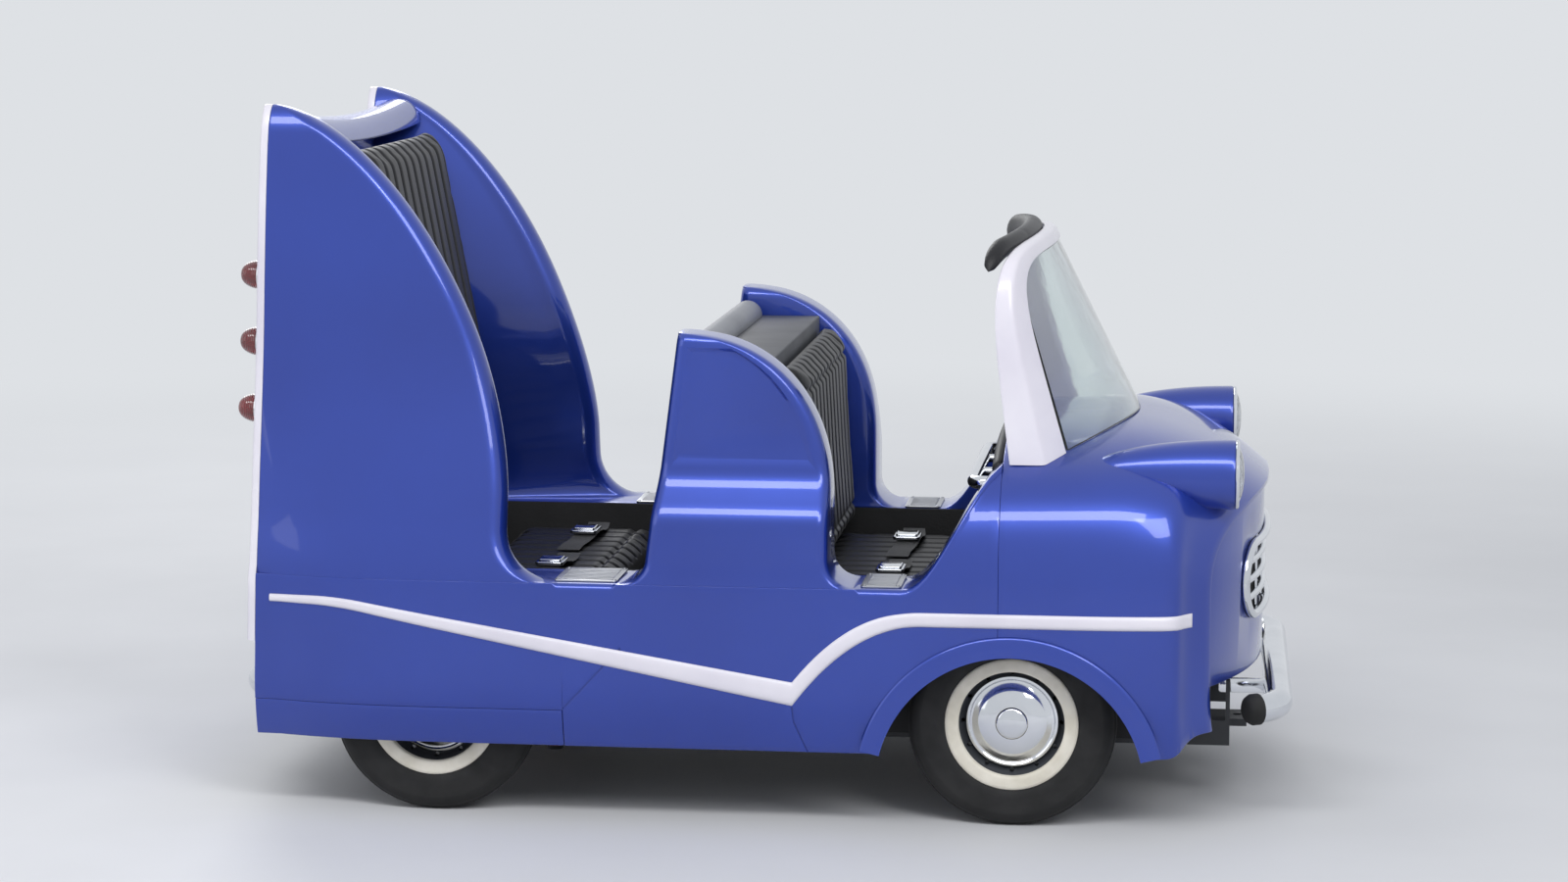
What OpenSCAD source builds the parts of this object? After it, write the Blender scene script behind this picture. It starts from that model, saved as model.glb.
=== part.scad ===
// Amusement ride car: a small 1950s open tourer with tail fins, two bench
// seats, four road wheels and guide trucks under its chassis.
// X runs forward, Y to the car's left and Z up from the floor. The origin is
// on the floor, midway along the car.

/* [Overall] */
// Length over the bumpers
overall_l = 1980; // [1960:5:2040]
// Width over the flanks
body_w = 1120; // [1110:2:1140]
// Thickness of the moulded shell
shell_t = 8; // [6:0.5:10]
// Height of the body's lower edge
lower_edge_z = 140; // [132:1:150]
// Height of the door sills
sill_z = 448; // [444:1:456]
// Fit between pieces that meet
fit = 0.3; // [0.2:0.05:0.5]

/* [Fins] */
// Height of the fins' tips
fin_tip_z = 1313; // [1290:1:1340]
// Length of a fin along its foot
fin_run = 448; // [430:2:460]
// Slant of the fins' rear edge, per unit of height
rear_lean = 0.03; // [0.02:0.005:0.04]
// How far the middle of a fin's tip stands in from the flank
fin_inset = 139; // [135:1:145]
// Thickness of a fin at its rear
fin_t = 150; // [140:1:152]
// Thickness of a fin's rounded front edge
fin_edge_t = 64; // [50:1:80]
// Height of the fins' tapered tops
fin_taper_h = 400; // [360:5:440]
// Radius at the foot of a fin's front edge
fin_foot_r = 90; // [70:2:100]

/* [Tail] */
// Thickness of the bezel on each fin
bezel_t = 16; // [14:0.5:20]
// Width of the bezel's raised rim
bezel_rim = 15; // [12:0.5:18]
// Depth of the bezel's floor below its rim
bezel_recess = 9; // [6:0.5:11]
// Height of the bezel's lower end
bezel_foot_z = 320; // [300:5:360]
// Height of the top tail lamp
lamp_top_z = 993; // [980:1:1010]
// Spacing of the tail lamps
lamp_pitch = 125; // [115:1:130]
// Number of tail lamps on each fin
lamp_count = 3; // [2:1:4]
// Radius of a tail lamp's round seat
lamp_seat_r = 40; // [36:0.5:44]
// Height of a tail lamp's seat above the bezel's floor
lamp_seat_h = 25; // [18:0.5:28]
// Radius of a tail lamp's lens
lens_r = 27.5; // [22:0.5:30]
// Length of a tail lamp's lens
lens_l = 42; // [36:0.5:44]

/* [Pods] */
// Height of the pods beside the front seat's back
pod_top_z = 904; // [880:2:930]
// Length of a pod's top along its foot
pod_run = 281; // [270:1:290]
// Radius of a pod's upright edges
pod_corner_r = 20; // [14:1:26]

/* [Wheels] */
// Wheelbase
wheelbase = 1078; // [1060:2:1090]
// Outer radius of a tyre
tyre_r = 192; // [188:1:194]
// Width of a tyre
tyre_w = 90; // [84:1:92]
// Radius of a wheel's rim
rim_r = 115; // [110:1:120]
// Radius of a stub axle
stub_r = 15; // [12:0.5:18]
// Radial running clearance on a stub axle
run_fit = 0.05; // [0.02:0.01:0.1]
// Radius of the arch over a front wheel
arch_r = 252; // [248:1:258]
// Width of the lip round an arch
arch_lip_w = 30; // [24:1:34]

/* [Cabin] */
// Distance from a flank's outside to the inside of the seating tub
side_room = 166; // [164:1:172]
// Thickness of the tub's walls
tub_t = 6; // [4:0.5:8]
// Height of the tub's floor
tub_floor_z = 150; // [149:0.5:156]
// Height of the seat cushions
seat_z = 405; // [395:1:415]
// Thickness of the seat cushions
cushion_t = 110; // [90:2:120]
// Room between the seat cushions and the tub's sides
cushion_gap = 6; // [4:0.5:12]
// Width of the lap belts' webbing
belt_w = 45; // [40:1:50]

/* [Chassis] */
// Distance between the chassis rails
rail_track = 400; // [360:5:440]
// Height of a chassis rail
rail_h = 48; // [44:1:50]
// Width of a chassis rail
rail_w = 40; // [30:1:50]
// Radius of the axle beams
beam_r = 20; // [16:0.5:22]
// Drop of the axle beams below the stub axles
beam_drop = 67; // [62:1:70]
// Radius of a guide roller
roller_r = 34; // [30:1:38]
// Width of the guide rail between the rollers
guide_rail_w = 50; // [44:1:60]
// Radius of a truck's kingpin
kingpin_r = 14; // [12:0.5:16]

/* [Hidden] */
$fn = 48;

// Places along the car
half_l = overall_l / 2;
half_w = body_w / 2;
tub_w = body_w - 2 * side_room;
cushion_w = tub_w - 2 * cushion_gap;
length_share = overall_l / 1980;
fin_len = fin_run * length_share;
pod_len = pod_run * length_share;
front_axle_x = 478 * length_share;
rear_axle_x = front_axle_x - wheelbase * length_share;
fin_tip_x = 89 - half_l;
nose_x = half_l - 45;
seat_back_x = fin_tip_x + 211;
fin_bend_z = 600;
fin_power = 1.66;
fin_cap_w = 72;
pod_rear_x = -137 * length_share;
pod_lean = 53;
pod_bend_z = 600;
pod_power = 2.2;
pod_foot_r = 50;
pod_shoulder_z = 660;
pod_tuck = 55;
front_sill_end = 292 * length_share;
cowl_x = 455 * length_share;
cowl_z = 671;
skirt_x = rear_axle_x + 256;
skirt_z = 211;
seam = 0.6;

// Colours of the finishes
blue = "#2B49A6";
white = "#E9E6EE";
red = "#8E1420";
chrome = "#C9CCD1";
black = "#1B1B1E";
grey = "#4C4E54";
steel = "#6E7278";

function lerp(a, b, t) = a + (b - a) * t;
function clamp(t) = min(1, max(0, t));
function ease(t) = let (u = clamp(t)) u * u * (3 - 2 * u);
function steps(n) = [for (i = [0 : n]) i / n];
function sorted(v) = len(v) < 2 ? v : let (m = v[0]) concat(
    sorted([for (x = v) if (x < m) x]), [m], sorted([for (x = v) if (x > m) x]));

// Solid between an outer and an inner grid of points. Seen from outside, rows
// run to the right and columns run up.
module walled(outer, inner) {
    rows = len(outer);
    cols = len(outer[0]);
    function a(i, j) = i * cols + j;
    function b(i, j) = rows * cols + i * cols + j;
    points = concat([for (r = outer) each r], [for (r = inner) each r]);
    skins = [for (i = [0 : rows - 2]) for (j = [0 : cols - 2]) each [
        [a(i, j), a(i, j + 1), a(i + 1, j + 1)], [a(i, j), a(i + 1, j + 1), a(i + 1, j)],
        [b(i, j), b(i + 1, j + 1), b(i, j + 1)], [b(i, j), b(i + 1, j), b(i + 1, j + 1)]
    ]];
    long_rims = [for (i = [0 : rows - 2]) each [
        [a(i, 0), a(i + 1, 0), b(i + 1, 0)], [a(i, 0), b(i + 1, 0), b(i, 0)],
        [a(i + 1, cols - 1), a(i, cols - 1), b(i, cols - 1)],
        [a(i + 1, cols - 1), b(i, cols - 1), b(i + 1, cols - 1)]
    ]];
    end_rims = [for (j = [0 : cols - 2]) each [
        [a(0, j + 1), a(0, j), b(0, j)], [a(0, j + 1), b(0, j), b(0, j + 1)],
        [a(rows - 1, j), a(rows - 1, j + 1), b(rows - 1, j + 1)],
        [a(rows - 1, j), b(rows - 1, j + 1), b(rows - 1, j)]
    ]];
    polyhedron(points, concat(skins, long_rims, end_rims));
}

// Solid through a stack of rings, each anticlockwise seen from the last ring's end
module lofted(rings) {
    n = len(rings[0]);
    last = len(rings) - 1;
    points = [for (r = rings) each r];
    sides = [for (i = [0 : last - 1]) for (j = [0 : n - 1]) let (k = (j + 1) % n) each [
        [i * n + j, (i + 1) * n + j, (i + 1) * n + k], [i * n + j, (i + 1) * n + k, i * n + k]
    ]];
    caps = [for (j = [0 : ceil(n / 2) - 2]) each concat(
        j + 1 < n - 2 - j ? [[j, j + 1, n - 2 - j]] : [], [[j, n - 2 - j, n - 1 - j]])];
    end = [for (f = caps) [last * n + f[0], last * n + f[2], last * n + f[1]]];
    polyhedron(points, concat(sides, caps, end));
}

module both_sides() {
    children();
    mirror([0, 1, 0]) children();
}

// Half width of the body in plan at the sills, narrower at the tail and the nose
tail_taper = [-500, 48];
nose_taper = [600, 120];
function plan_y(x) =
    x < tail_taper[0] ? half_w - tail_taper[1] * pow((tail_taper[0] - x) / (tail_taper[0] - fin_tip_x + 24), 3) :
    x > nose_taper[0] ? half_w - nose_taper[1] + nose_taper[1] * sqrt(1 - pow((x - nose_taper[0]) / (nose_x + 15 - nose_taper[0]), 2)) :
    half_w;

// How far the flank turns under near its lower edge
function tuck(z) = 24 * pow(clamp((sill_z - 188 - z) / (sill_z - 188 - lower_edge_z)), 2);

// Height of the front clip's top along the centreline
bonnet_z = 720;
brow_x = 650;
brow_drop = 122;
function clip_top(x) = bonnet_z - 8 * clamp((brow_x + 40 - x) / 235) - brow_drop * pow(clamp((x - brow_x) / (nose_x + 5 - brow_x)), 2.1);
clip_foot_z = 420;
clip_power = 3.2;

// A place on the front end, swept back toward the car's sides
nose_sweep = 112;
sweep_x = 735;
function swept(x, y, z) =
    [x - nose_sweep * pow(min(1, abs(y) / plan_y(x)), 2.4) * ease((x - sweep_x) / (nose_x - sweep_x)), y, z];

// Half width of the cowl and the front clip at a height
function clip_y(x, z) =
    plan_y(x) * pow(1 - pow(clamp((z - clip_foot_z) / (clip_top(x) - clip_foot_z)), clip_power), 1 / clip_power);

// Half width of the flank at a height
function side_y(x, z) =
    z < clip_foot_z ? plan_y(x) - tuck(z) : x > 150 ? clip_y(x, z) : plan_y(x);

// Height of the flank's lower edge, over the wheel arch and the wheel skirt
arch_z = lower_edge_z - 55;
arch_step = 12;
arch_skin_r = arch_r / cos(arch_step / 2) + 0.2;
arch_half = sqrt(arch_skin_r * arch_skin_r - 55 * 55);
function flank_foot(x) =
    x < skirt_x ? skirt_z :
    abs(x - front_axle_x) < arch_half ? arch_z + sqrt(arch_skin_r * arch_skin_r - pow(x - front_axle_x, 2)) :
    x > nose_x - 185 ? lower_edge_z + 40 * ease((x - nose_x + 185) / 180) : lower_edge_z;

// Height of the flank's top, from the sills up to the cowl
function flank_top(x) = lerp(sill_z, cowl_z, ease((x - front_sill_end + 12) / (cowl_x - front_sill_end + 30)));

// The car's slanting rear plane
function rear_x(z) = fin_tip_x - rear_lean * (fin_tip_z - z);

// Flank, its sill and the lip that laps the tub
side_levels = 7;
sill_r = 14;
square_r = 1.2;
doorway_fade = 12;
rear_doorway = [fin_tip_x + fin_len + fin_foot_r, pod_rear_x - pod_lean - pod_foot_r];
front_doorway_x = pod_rear_x + pod_len + pod_foot_r;

// Radius of the flank's top edge: round in the doorways, square under a fin or a pod
function sill_round(x) = lerp(square_r, sill_r, ease(
    (x < pod_rear_x ? min(x - rear_doorway[0], rear_doorway[1] - x) : x - front_doorway_x) / doorway_fade));
function flank_skin(x, inset) = let (
    low = flank_foot(x), top = flank_top(x) - inset, r = max(0.3, sill_round(x) - inset), z_arc = top - r,
    y_arc = side_y(x, z_arc) - inset - r, lip_y = tub_w / 2 + tub_t + fit
) concat(
    [for (t = steps(side_levels)) let (z = lerp(low, z_arc, t)) [side_y(x, z) - inset, z]],
    [for (a = [30, 60, 90]) [y_arc + r * cos(a), z_arc + r * sin(a)]],
    [[lip_y + max(sill_r / 2, inset + 0.5), top], [lip_y + inset, top - 0.9], [lip_y + inset, sill_z - sill_r]]
);
arch_stations = [for (a = [0 : arch_step : 180]) front_axle_x - arch_half * cos(a)];
tail_steps = [21, 101, 201, 301, 401];
side_stations = sorted(concat(
    [fin_tip_x], [for (d = tail_steps) fin_tip_x + d], [skirt_x - 0.5, skirt_x + 0.5, -50, 100],
    [rear_doorway[0], rear_doorway[0] + doorway_fade, rear_doorway[1] - doorway_fade, rear_doorway[1]],
    [front_doorway_x, front_doorway_x + doorway_fade],
    [for (x = arch_stations) if (x < cowl_x - 10 && x > front_doorway_x + doorway_fade) x], [cowl_x - fit]
));
module side() {
    skins = [for (inset = [0, shell_t]) [for (x = side_stations) [for (p = flank_skin(x, inset))
        [x == fin_tip_x ? rear_x(p[1]) : x, -p[0], p[1]]]]];
    walled(skins[0], skins[1]);
}
module side_right() color(blue) side();
module side_left() color(blue) mirror([0, 1, 0]) side();

// Fins, built up in level slices
function fin_front_x(z) =
    z > fin_bend_z ?
        fin_tip_x + fin_len * pow(1 - pow(clamp((z - fin_bend_z) / (fin_tip_z - fin_bend_z)), fin_power), 1 / fin_power) :
    z < sill_z + fin_foot_r ?
        fin_tip_x + fin_len + fin_foot_r - sqrt(fin_foot_r * fin_foot_r - pow(sill_z + fin_foot_r - z, 2)) :
        fin_tip_x + fin_len;
function fin_w(z) = let (d = clamp((fin_tip_z - z) / fin_taper_h)) fin_t * pow(1 - pow(1 - d, 2), 1 / 2.2);
function fin_mid_y(z) =
    half_w - fin_inset - 0.27 * max(0, fin_w(z) - fin_cap_w) + 37 * ease((930 - z) / (930 - sill_z));
function fin_outer_y(x, z) =
    fin_mid_y(z) + fin_w(z) / 2
    + (plan_y(x) - plan_y(fin_tip_x)) * (1 - ease((z - sill_z) / 450))
    + (plan_y(fin_tip_x) - fin_mid_y(sill_z) - fin_t / 2) * (1 - ease((z - sill_z) / 120));
function fin_inner_y(x, z) = let (
    t = clamp((x - rear_x(z)) / max(1, fin_front_x(z) - rear_x(z))))
    fin_outer_y(x, z) - lerp(fin_w(z), min(fin_w(z), fin_edge_t), t);
function fin_ring(z) = let (
    rear = rear_x(z), front = fin_front_x(z),
    r = min(min(fin_edge_t, fin_w(z)) / 2, (front - rear) * 0.4), x_nose = front - r,
    outer_y = fin_outer_y(x_nose, z), inner_y = fin_inner_y(x_nose, z)
) concat(
    [for (t = steps(5)) let (x = lerp(rear, x_nose, t)) [x, -fin_outer_y(x, z), z]],
    [for (a = [-60, -30, 0, 30, 60])
        [x_nose + r * cos(a), -(outer_y + inner_y) / 2 + (outer_y - inner_y) / 2 * sin(a), z]],
    [for (t = steps(5)) let (x = lerp(x_nose, rear, t)) [x, -fin_inner_y(x, z), z]]
);
fin_levels = concat(
    [for (a = [0 : 22.5 : 67.5]) sill_z + fin_foot_r * (1 - cos(a))],
    [sill_z + fin_foot_r, fin_bend_z - 20],
    [for (a = [0 : 6 : 84]) fin_bend_z + (fin_tip_z - fin_bend_z) * pow(sin(a), 2 / fin_power)], [fin_tip_z - 1.5]
);
module fin() lofted([for (z = fin_levels) fin_ring(z)]);
module fin_right() color(blue) fin();
module fin_left() color(blue) mirror([0, 1, 0]) fin();

// Pods beside the front seat's back, built up in level slices
function pod_rear(z) =
    z < sill_z + pod_foot_r ?
        pod_rear_x - pod_lean - pod_foot_r + sqrt(pod_foot_r * pod_foot_r - pow(sill_z + pod_foot_r - z, 2)) :
        pod_rear_x - pod_lean * (pod_top_z - z) / (pod_top_z - sill_z - pod_foot_r);
function pod_front(z) =
    z > pod_bend_z ?
        pod_rear_x + pod_len * pow(1 - pow(clamp((z - pod_bend_z) / (pod_top_z - pod_bend_z)), pod_power), 1 / pod_power) :
    z < sill_z + pod_foot_r ?
        pod_rear_x + pod_len + pod_foot_r - sqrt(pod_foot_r * pod_foot_r - pow(sill_z + pod_foot_r - z, 2)) :
        pod_rear_x + pod_len;
function pod_outer_y(z) = half_w - pod_tuck * ease((z - sill_z - 110) / (pod_shoulder_z - sill_z - 110));
function pod_ring(z, lap = 0) = let (
    rear = pod_rear(z), front = pod_front(z), outer = pod_outer_y(z), inner = tub_w / 2 + tub_t + fit,
    top = clamp((z - pod_top_z + pod_corner_r) / pod_corner_r), in_top = pod_corner_r * (1 - sqrt(1 - top * top * 0.96)),
    r = min(pod_corner_r, (front - rear) * 0.4)
) [for (c = [[rear, -outer + in_top, 180], [front, -outer + in_top, 270], [front, -inner - in_top, 0], [rear, -inner - in_top, 90]])
    for (a = [0, 30, 60, 90])
        let (sx = c[0] == front ? 1 : -1, sy = c[1] < -(outer + inner) / 2 ? -1 : 1)
        [c[0] - sx * r + r * cos(c[2] + a), c[1] - sy * r + r * sin(c[2] + a), z]];
pod_levels = concat(
    [for (a = [0, 30, 60]) sill_z + pod_foot_r * (1 - cos(a))],
    [sill_z + pod_foot_r, 560, 582],
    [for (a = [0 : 9 : 72]) pod_bend_z + (pod_top_z - pod_bend_z) * pow(sin(a), 2 / pod_power)], [pod_top_z - 4, pod_top_z]
);
module pods() color(blue) both_sides() lofted([for (z = pod_levels) pod_ring(z)]);

// Panel that covers each rear wheel, hung from the flank's lower edge
module wheel_skirts() color(blue) both_sides() {
    xs = concat([fin_tip_x], [for (d = tail_steps) fin_tip_x + d], [(fin_tip_x + tail_steps[4] + skirt_x) / 2, skirt_x - 0.5 - seam]);
    skins = [for (inset = [0, shell_t]) [for (x = xs) [for (t = steps(3))
        let (z = lerp(lower_edge_z, skirt_z - seam, t))
        [x == fin_tip_x ? rear_x(z) : x, -side_y(x, z) + inset, z]]]];
    walled(skins[0], skins[1]);
}

// White bezels with the round seats of the tail lamps
function bezel_side(d, inset, outer) = let (z = fin_tip_z - d)
    outer ? -(z < sill_z ? side_y(fin_tip_x, z) : fin_outer_y(rear_x(z), z)) + inset
          : -(z < sill_z ? side_y(fin_tip_x, z) - fin_t : fin_inner_y(rear_x(z), z)) - inset;
function bezel_drops(inset) = let (d0 = fin_taper_h * (1 - sqrt(1 - pow((2 * inset + 8) / fin_t, 2.2))))
    concat([for (t = [0 : 0.125 : 1]) d0 + (fin_taper_h - d0) * t * t], [470, 560, 650, 740, 810, 865, fin_tip_z - bezel_foot_z - inset]);
function bezel_outline(inset) = let (ds = bezel_drops(inset), n = len(ds)) concat(
    [for (i = [0 : n - 1]) [bezel_side(ds[i], inset, true), -ds[i]]],
    [for (i = [n - 1 : -1 : 0]) [bezel_side(ds[i], inset, false), -ds[i]]]
);
module on_rear_plane() {
    translate([fin_tip_x - fit, 0, fin_tip_z]) rotate([0, atan(rear_lean), 0]) rotate([90, 0, -90]) mirror([1, 0, 0]) children();
}
lamp_drops = [for (i = [0 : lamp_count - 1]) fin_tip_z - lamp_top_z + i * lamp_pitch];
function lamp_y(d) = (bezel_side(d, 0, true) + bezel_side(d, 0, false)) / 2;
module bezels() color(white) both_sides() on_rear_plane() {
    difference() {
        linear_extrude(bezel_t) polygon(bezel_outline(0));
        translate([0, 0, bezel_t - bezel_recess]) linear_extrude(bezel_t) polygon(bezel_outline(bezel_rim));
    }
    for (d = lamp_drops) translate([lamp_y(d), -d, bezel_t - bezel_recess])
        rotate_extrude() polygon([
            [0, -1], [lamp_seat_r, -1], [lamp_seat_r, lamp_seat_h - 6], [lamp_seat_r - 6, lamp_seat_h],
            [lens_r + 3, lamp_seat_h], [lens_r + 1, lamp_seat_h - 3], [0, lamp_seat_h - 3]
        ]);
}
module tail_lamps() color(red) both_sides() on_rear_plane()
    for (d = lamp_drops) translate([lamp_y(d), -d, bezel_t - bezel_recess + lamp_seat_h - 3])
        rotate_extrude() intersection() {
            union() {
                square([lens_r, lens_l - lens_r]);
                translate([0, lens_l - lens_r]) circle(lens_r);
            }
            square([lens_r, lens_l]);
        }

// Rear panel between the fins, with its rolled top
panel_top_z = fin_tip_z - 22;
panel_roll_r = 30;
panel_gap = 1.1;
function panel_half(z) =
    z < bezel_foot_z - 2 ? side_y(fin_tip_x, z) - shell_t - fit :
    z < sill_z ? side_y(fin_tip_x, z) - fin_t - panel_gap :
    fin_inner_y(rear_x(z), min(z, panel_top_z - panel_roll_r)) - panel_gap;
panel_foot_z = 262;
function panel_profile(inset) = let (
    z_bend = panel_top_z - panel_roll_r, r = panel_roll_r - inset
) concat(
    [for (z = [panel_foot_z, bezel_foot_z - 3, bezel_foot_z - 1, sill_z, 560, 700, 850, 930, 1010, 1090, 1150, 1210, 1236, z_bend]) [inset, z]],
    [for (a = [30, 60, 90]) [panel_roll_r - r * cos(a), z_bend + r * sin(a)]],
    [[panel_roll_r + 40, panel_top_z - inset - 2]],
    [for (a = [60, 0]) [panel_roll_r + 40 + r * cos(a), z_bend + r * sin(a) - 2]]
);
module rear_panel() color(blue) {
    skins = [for (inset = [0, shell_t]) [for (t = [1 : -0.25 : -1]) [for (p = panel_profile(inset))
        let (z = p[1], dip = 14 * (1 - t * t) * ease((z - 1100) / 200))
        [rear_x(z) + p[0] - 16 * (1 - t * t) * ease((panel_top_z - z) / 250), t * panel_half(z), z - dip]]]];
    walled(skins[0], skins[1]);
}

// One-piece bonnet and front wings
clip_stations = concat(
    [cowl_x], [for (x = arch_stations) if (x > cowl_x + 10) x], [for (d = [175, 145, 115, 75, 40, 15, 0]) nose_x - d]);
clip_angles = [for (a = [0 : 10 : 180]) a];
function clip_skin(x, inset) = let (low = flank_foot(x), w = plan_y(x) - inset, top = clip_top(x) - inset) concat(
    [for (t = steps(3)) let (z = lerp(low, clip_foot_z, t)) if (t < 1) [-(side_y(x, z) - inset), z]],
    [for (a = clip_angles) [
        -w * sign(cos(a)) * pow(abs(cos(a)), 2 / clip_power), clip_foot_z + (top - clip_foot_z) * pow(sin(a), 2 / clip_power)]],
    [for (t = steps(3)) let (z = lerp(clip_foot_z, low, t)) if (t > 0) [side_y(x, z) - inset, z]]
);
module front_clip() color(blue) {
    skins = [for (inset = [0, shell_t]) [for (x = clip_stations) [for (p = clip_skin(x, inset)) swept(x, p[0], p[1])]]];
    walled(skins[0], skins[1]);
}

// Outline of the space inside the front clip, above a height
module clip_inside(x, low) {
    w = plan_y(x) - shell_t - 2 * fit;
    rise = clip_top(x) - shell_t - 2 * fit - clip_foot_z;
    intersection() {
        polygon([for (a = clip_angles)
            [w * sign(cos(a)) * pow(abs(cos(a)), 2 / clip_power), clip_foot_z + rise * pow(sin(a), 2 / clip_power)]]);
        translate([-w, low]) square([2 * w, rise]);
    }
}
module across(x, t) translate([x, 0, 0]) rotate([90, 0, 90]) linear_extrude(t) children();

// Nose panel with its oval mouth, and the grille in it
mouth_w = body_w - 480;
mouth_h = 150;
mouth_z = 430;
module mouth(inset) {
    translate([0, mouth_z]) union() {
        square([mouth_w - mouth_h, mouth_h - 2 * inset], center = true);
        for (s = [-1, 1]) translate([s * (mouth_w - mouth_h) / 2, 0]) circle(mouth_h / 2 - inset);
    }
}
bar_pitch = 34;
bar_h = 14;
ring_t = 14;
nose_foot_z = 262;
nose_t = 12;
nose_back = 8;
nose_seat_x = nose_x - 5;

// A band that follows the swept front end in plan, between two distances behind it
module nose_band(near, far) {
    w = plan_y(nose_x);
    front = [for (t = [-1 : 0.125 : 1]) let (p = swept(nose_x, t * w, 0)) [p[0] - near, p[1]]];
    rear = [for (t = [1 : -0.125 : -1]) let (p = swept(nose_x, t * w, 0)) [p[0] - far, p[1]]];
    translate([0, 0, nose_foot_z]) linear_extrude(bonnet_z - nose_foot_z) polygon(concat(front, rear));
}
module nose_cut() across(nose_x - nose_sweep - 2 * nose_back - nose_t, nose_sweep + 6 * nose_back + nose_t) children();
module nose_panel() color(blue) intersection() {
    nose_band(nose_back, nose_back + nose_t);
    nose_cut() difference() {
        union() {
            clip_inside(nose_seat_x, clip_foot_z);
            translate([0, (nose_foot_z + clip_foot_z) / 2])
                square([2 * (plan_y(nose_seat_x) - shell_t - 2 * fit), clip_foot_z - nose_foot_z + 0.02], center = true);
        }
        mouth(0);
    }
}
module grille() color(chrome) {
    intersection() {
        nose_band(-8, nose_back + nose_t);
        nose_cut() difference() { mouth(fit); mouth(ring_t); }
    }
    intersection() {
        nose_band(2, nose_back + nose_t - 2);
        nose_cut() for (i = [-1 : 1]) translate([0, mouth_z + i * bar_pitch]) square([
            mouth_w - mouth_h + 2 * sqrt(pow(mouth_h / 2 - ring_t / 2, 2) - pow(abs(i) * bar_pitch + bar_h / 2, 2)), bar_h], center = true);
    }
}

// Bullet-shaped headlamp pods let into the front wings
lamp_r = 64;
lamp_pod_l = 270;
lamp_wall = 8;
lamp_depth = 14;
lamp_at = [nose_x - 68, half_w - 152, 648];
module along_x() rotate([0, 90, 0]) children();
module wing_block(side) {
    lift = 0.5;
    first = side < 0 ? 20 : 110;
    xs = [for (x = clip_stations) if (x > lamp_at[0] - lamp_pod_l - 60) x];
    skins = [for (top = [true, false]) [for (x = xs) [for (a = [first : 10 : first + 50])
        let (z = clip_foot_z + (clip_top(x) - clip_foot_z) * pow(sin(a), 2 / clip_power))
        swept(x, -plan_y(x) * sign(cos(a)) * pow(abs(cos(a)), 2 / clip_power), top ? z + lift : clip_foot_z)]]];
    walled(skins[0], skins[1]);
}
module headlamp_pods() color(blue) for (side = [-1, 1]) difference() {
    translate([lamp_at[0], side * lamp_at[1], lamp_at[2]]) along_x() rotate_extrude() difference() {
        polygon(concat([[0, 0], [lamp_r, 0]], [for (a = [8 : 8 : 80]) [lamp_r * cos(a), -lamp_pod_l * sin(a)]], [[0, -lamp_pod_l]]));
        translate([0, -lamp_depth]) square([lamp_r - lamp_wall, lamp_depth + 1]);
    }
    wing_block(side);
}
module headlamps() color(white) both_sides() translate([lamp_at[0] - lamp_depth, -lamp_at[1], lamp_at[2]]) along_x()
    rotate_extrude() polygon([[0, 0], [lamp_r - lamp_wall - fit, 0], [lamp_r - lamp_wall - fit, 16], [50, 21], [40, 26], [20, 31], [0, 32]]);

// Flared lip round each front wheel arch
lip_out = 6;
module arch_lips() color(blue) both_sides() translate([front_axle_x, -half_w - lip_out, arch_z]) rotate([-90, 0, 0]) {
    a0 = asin(55 / arch_r) + 1;
    rotate_extrude(angle = 180 - 2 * a0, start = 180 + a0) polygon([
        [arch_r - 8, 0], [arch_r + arch_lip_w - 8, 0], [arch_r + arch_lip_w, lip_out - fit], [arch_r - fit, lip_out - fit],
        [arch_r - fit, 26], [arch_r - 8, 26]
    ]);
}

// White strip along each flank, with a notch under the pod
notch_x = pod_rear_x + 218;
notch_z = 252;
notch_rise = 240;
trim_lift = arch_z + arch_r + arch_lip_w + 28 - notch_z;
trim_run = notch_x - fin_tip_x - 131;
trim_t = 5;
trim_gap = 0.45;
function flank_y(x, z) = let (last = fin_tip_x + tail_steps[0]) x > last ? side_y(x, z) :
    lerp(side_y(last, z), side_y(fin_tip_x, z), (x - last) / (rear_x(z) - last));
function trim_z(x) =
    x < notch_x ? lerp(notch_z, notch_z + 152, clamp((notch_x - x) / trim_run)) :
    notch_z + trim_lift * (1 - pow(1 - clamp((x - notch_x) / notch_rise), 2.2));
function trim_w(x) = x < notch_x ? lerp(44, 18, (notch_x - x) / trim_run) : lerp(44, 26, clamp((x - notch_x) / 200));
trim_stations = sorted(concat(
    [fin_tip_x + 1],
    [for (x = concat(side_stations, clip_stations)) if (x > fin_tip_x + 1 && x < nose_x - 35 && abs(x - notch_x) > 20 && abs(x - cowl_x) > 4) x],
    [cowl_x - fit / 2], [for (t = [0, 0.12, 0.25, 0.6, 0.8]) notch_x + notch_rise * t]
));
module side_trim() color(white) both_sides() {
    skins = [for (lift = [trim_t, trim_gap]) [for (x = trim_stations) [for (t = [0, 0.2, 0.8, 1])
        let (z = trim_z(x) + (t - 0.5) * trim_w(x), bow = lift == trim_gap || (t > 0 && t < 1) ? lift : 2)
        swept(x, -flank_y(x, z) - bow, z)]]];
    walled(skins[0], skins[1]);
}

// Metal plates on the door sills
module sill_plates() color(chrome) both_sides()
    for (span = [[rear_doorway[0] + 4, rear_doorway[1] - 4], [front_doorway_x + 10, front_sill_end - 14]])
        translate([span[0], -half_w + sill_r + 6, sill_z + fit]) cube([span[1] - span[0], half_w - tub_w / 2 - tub_t - sill_r - 22, 3]);

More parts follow.
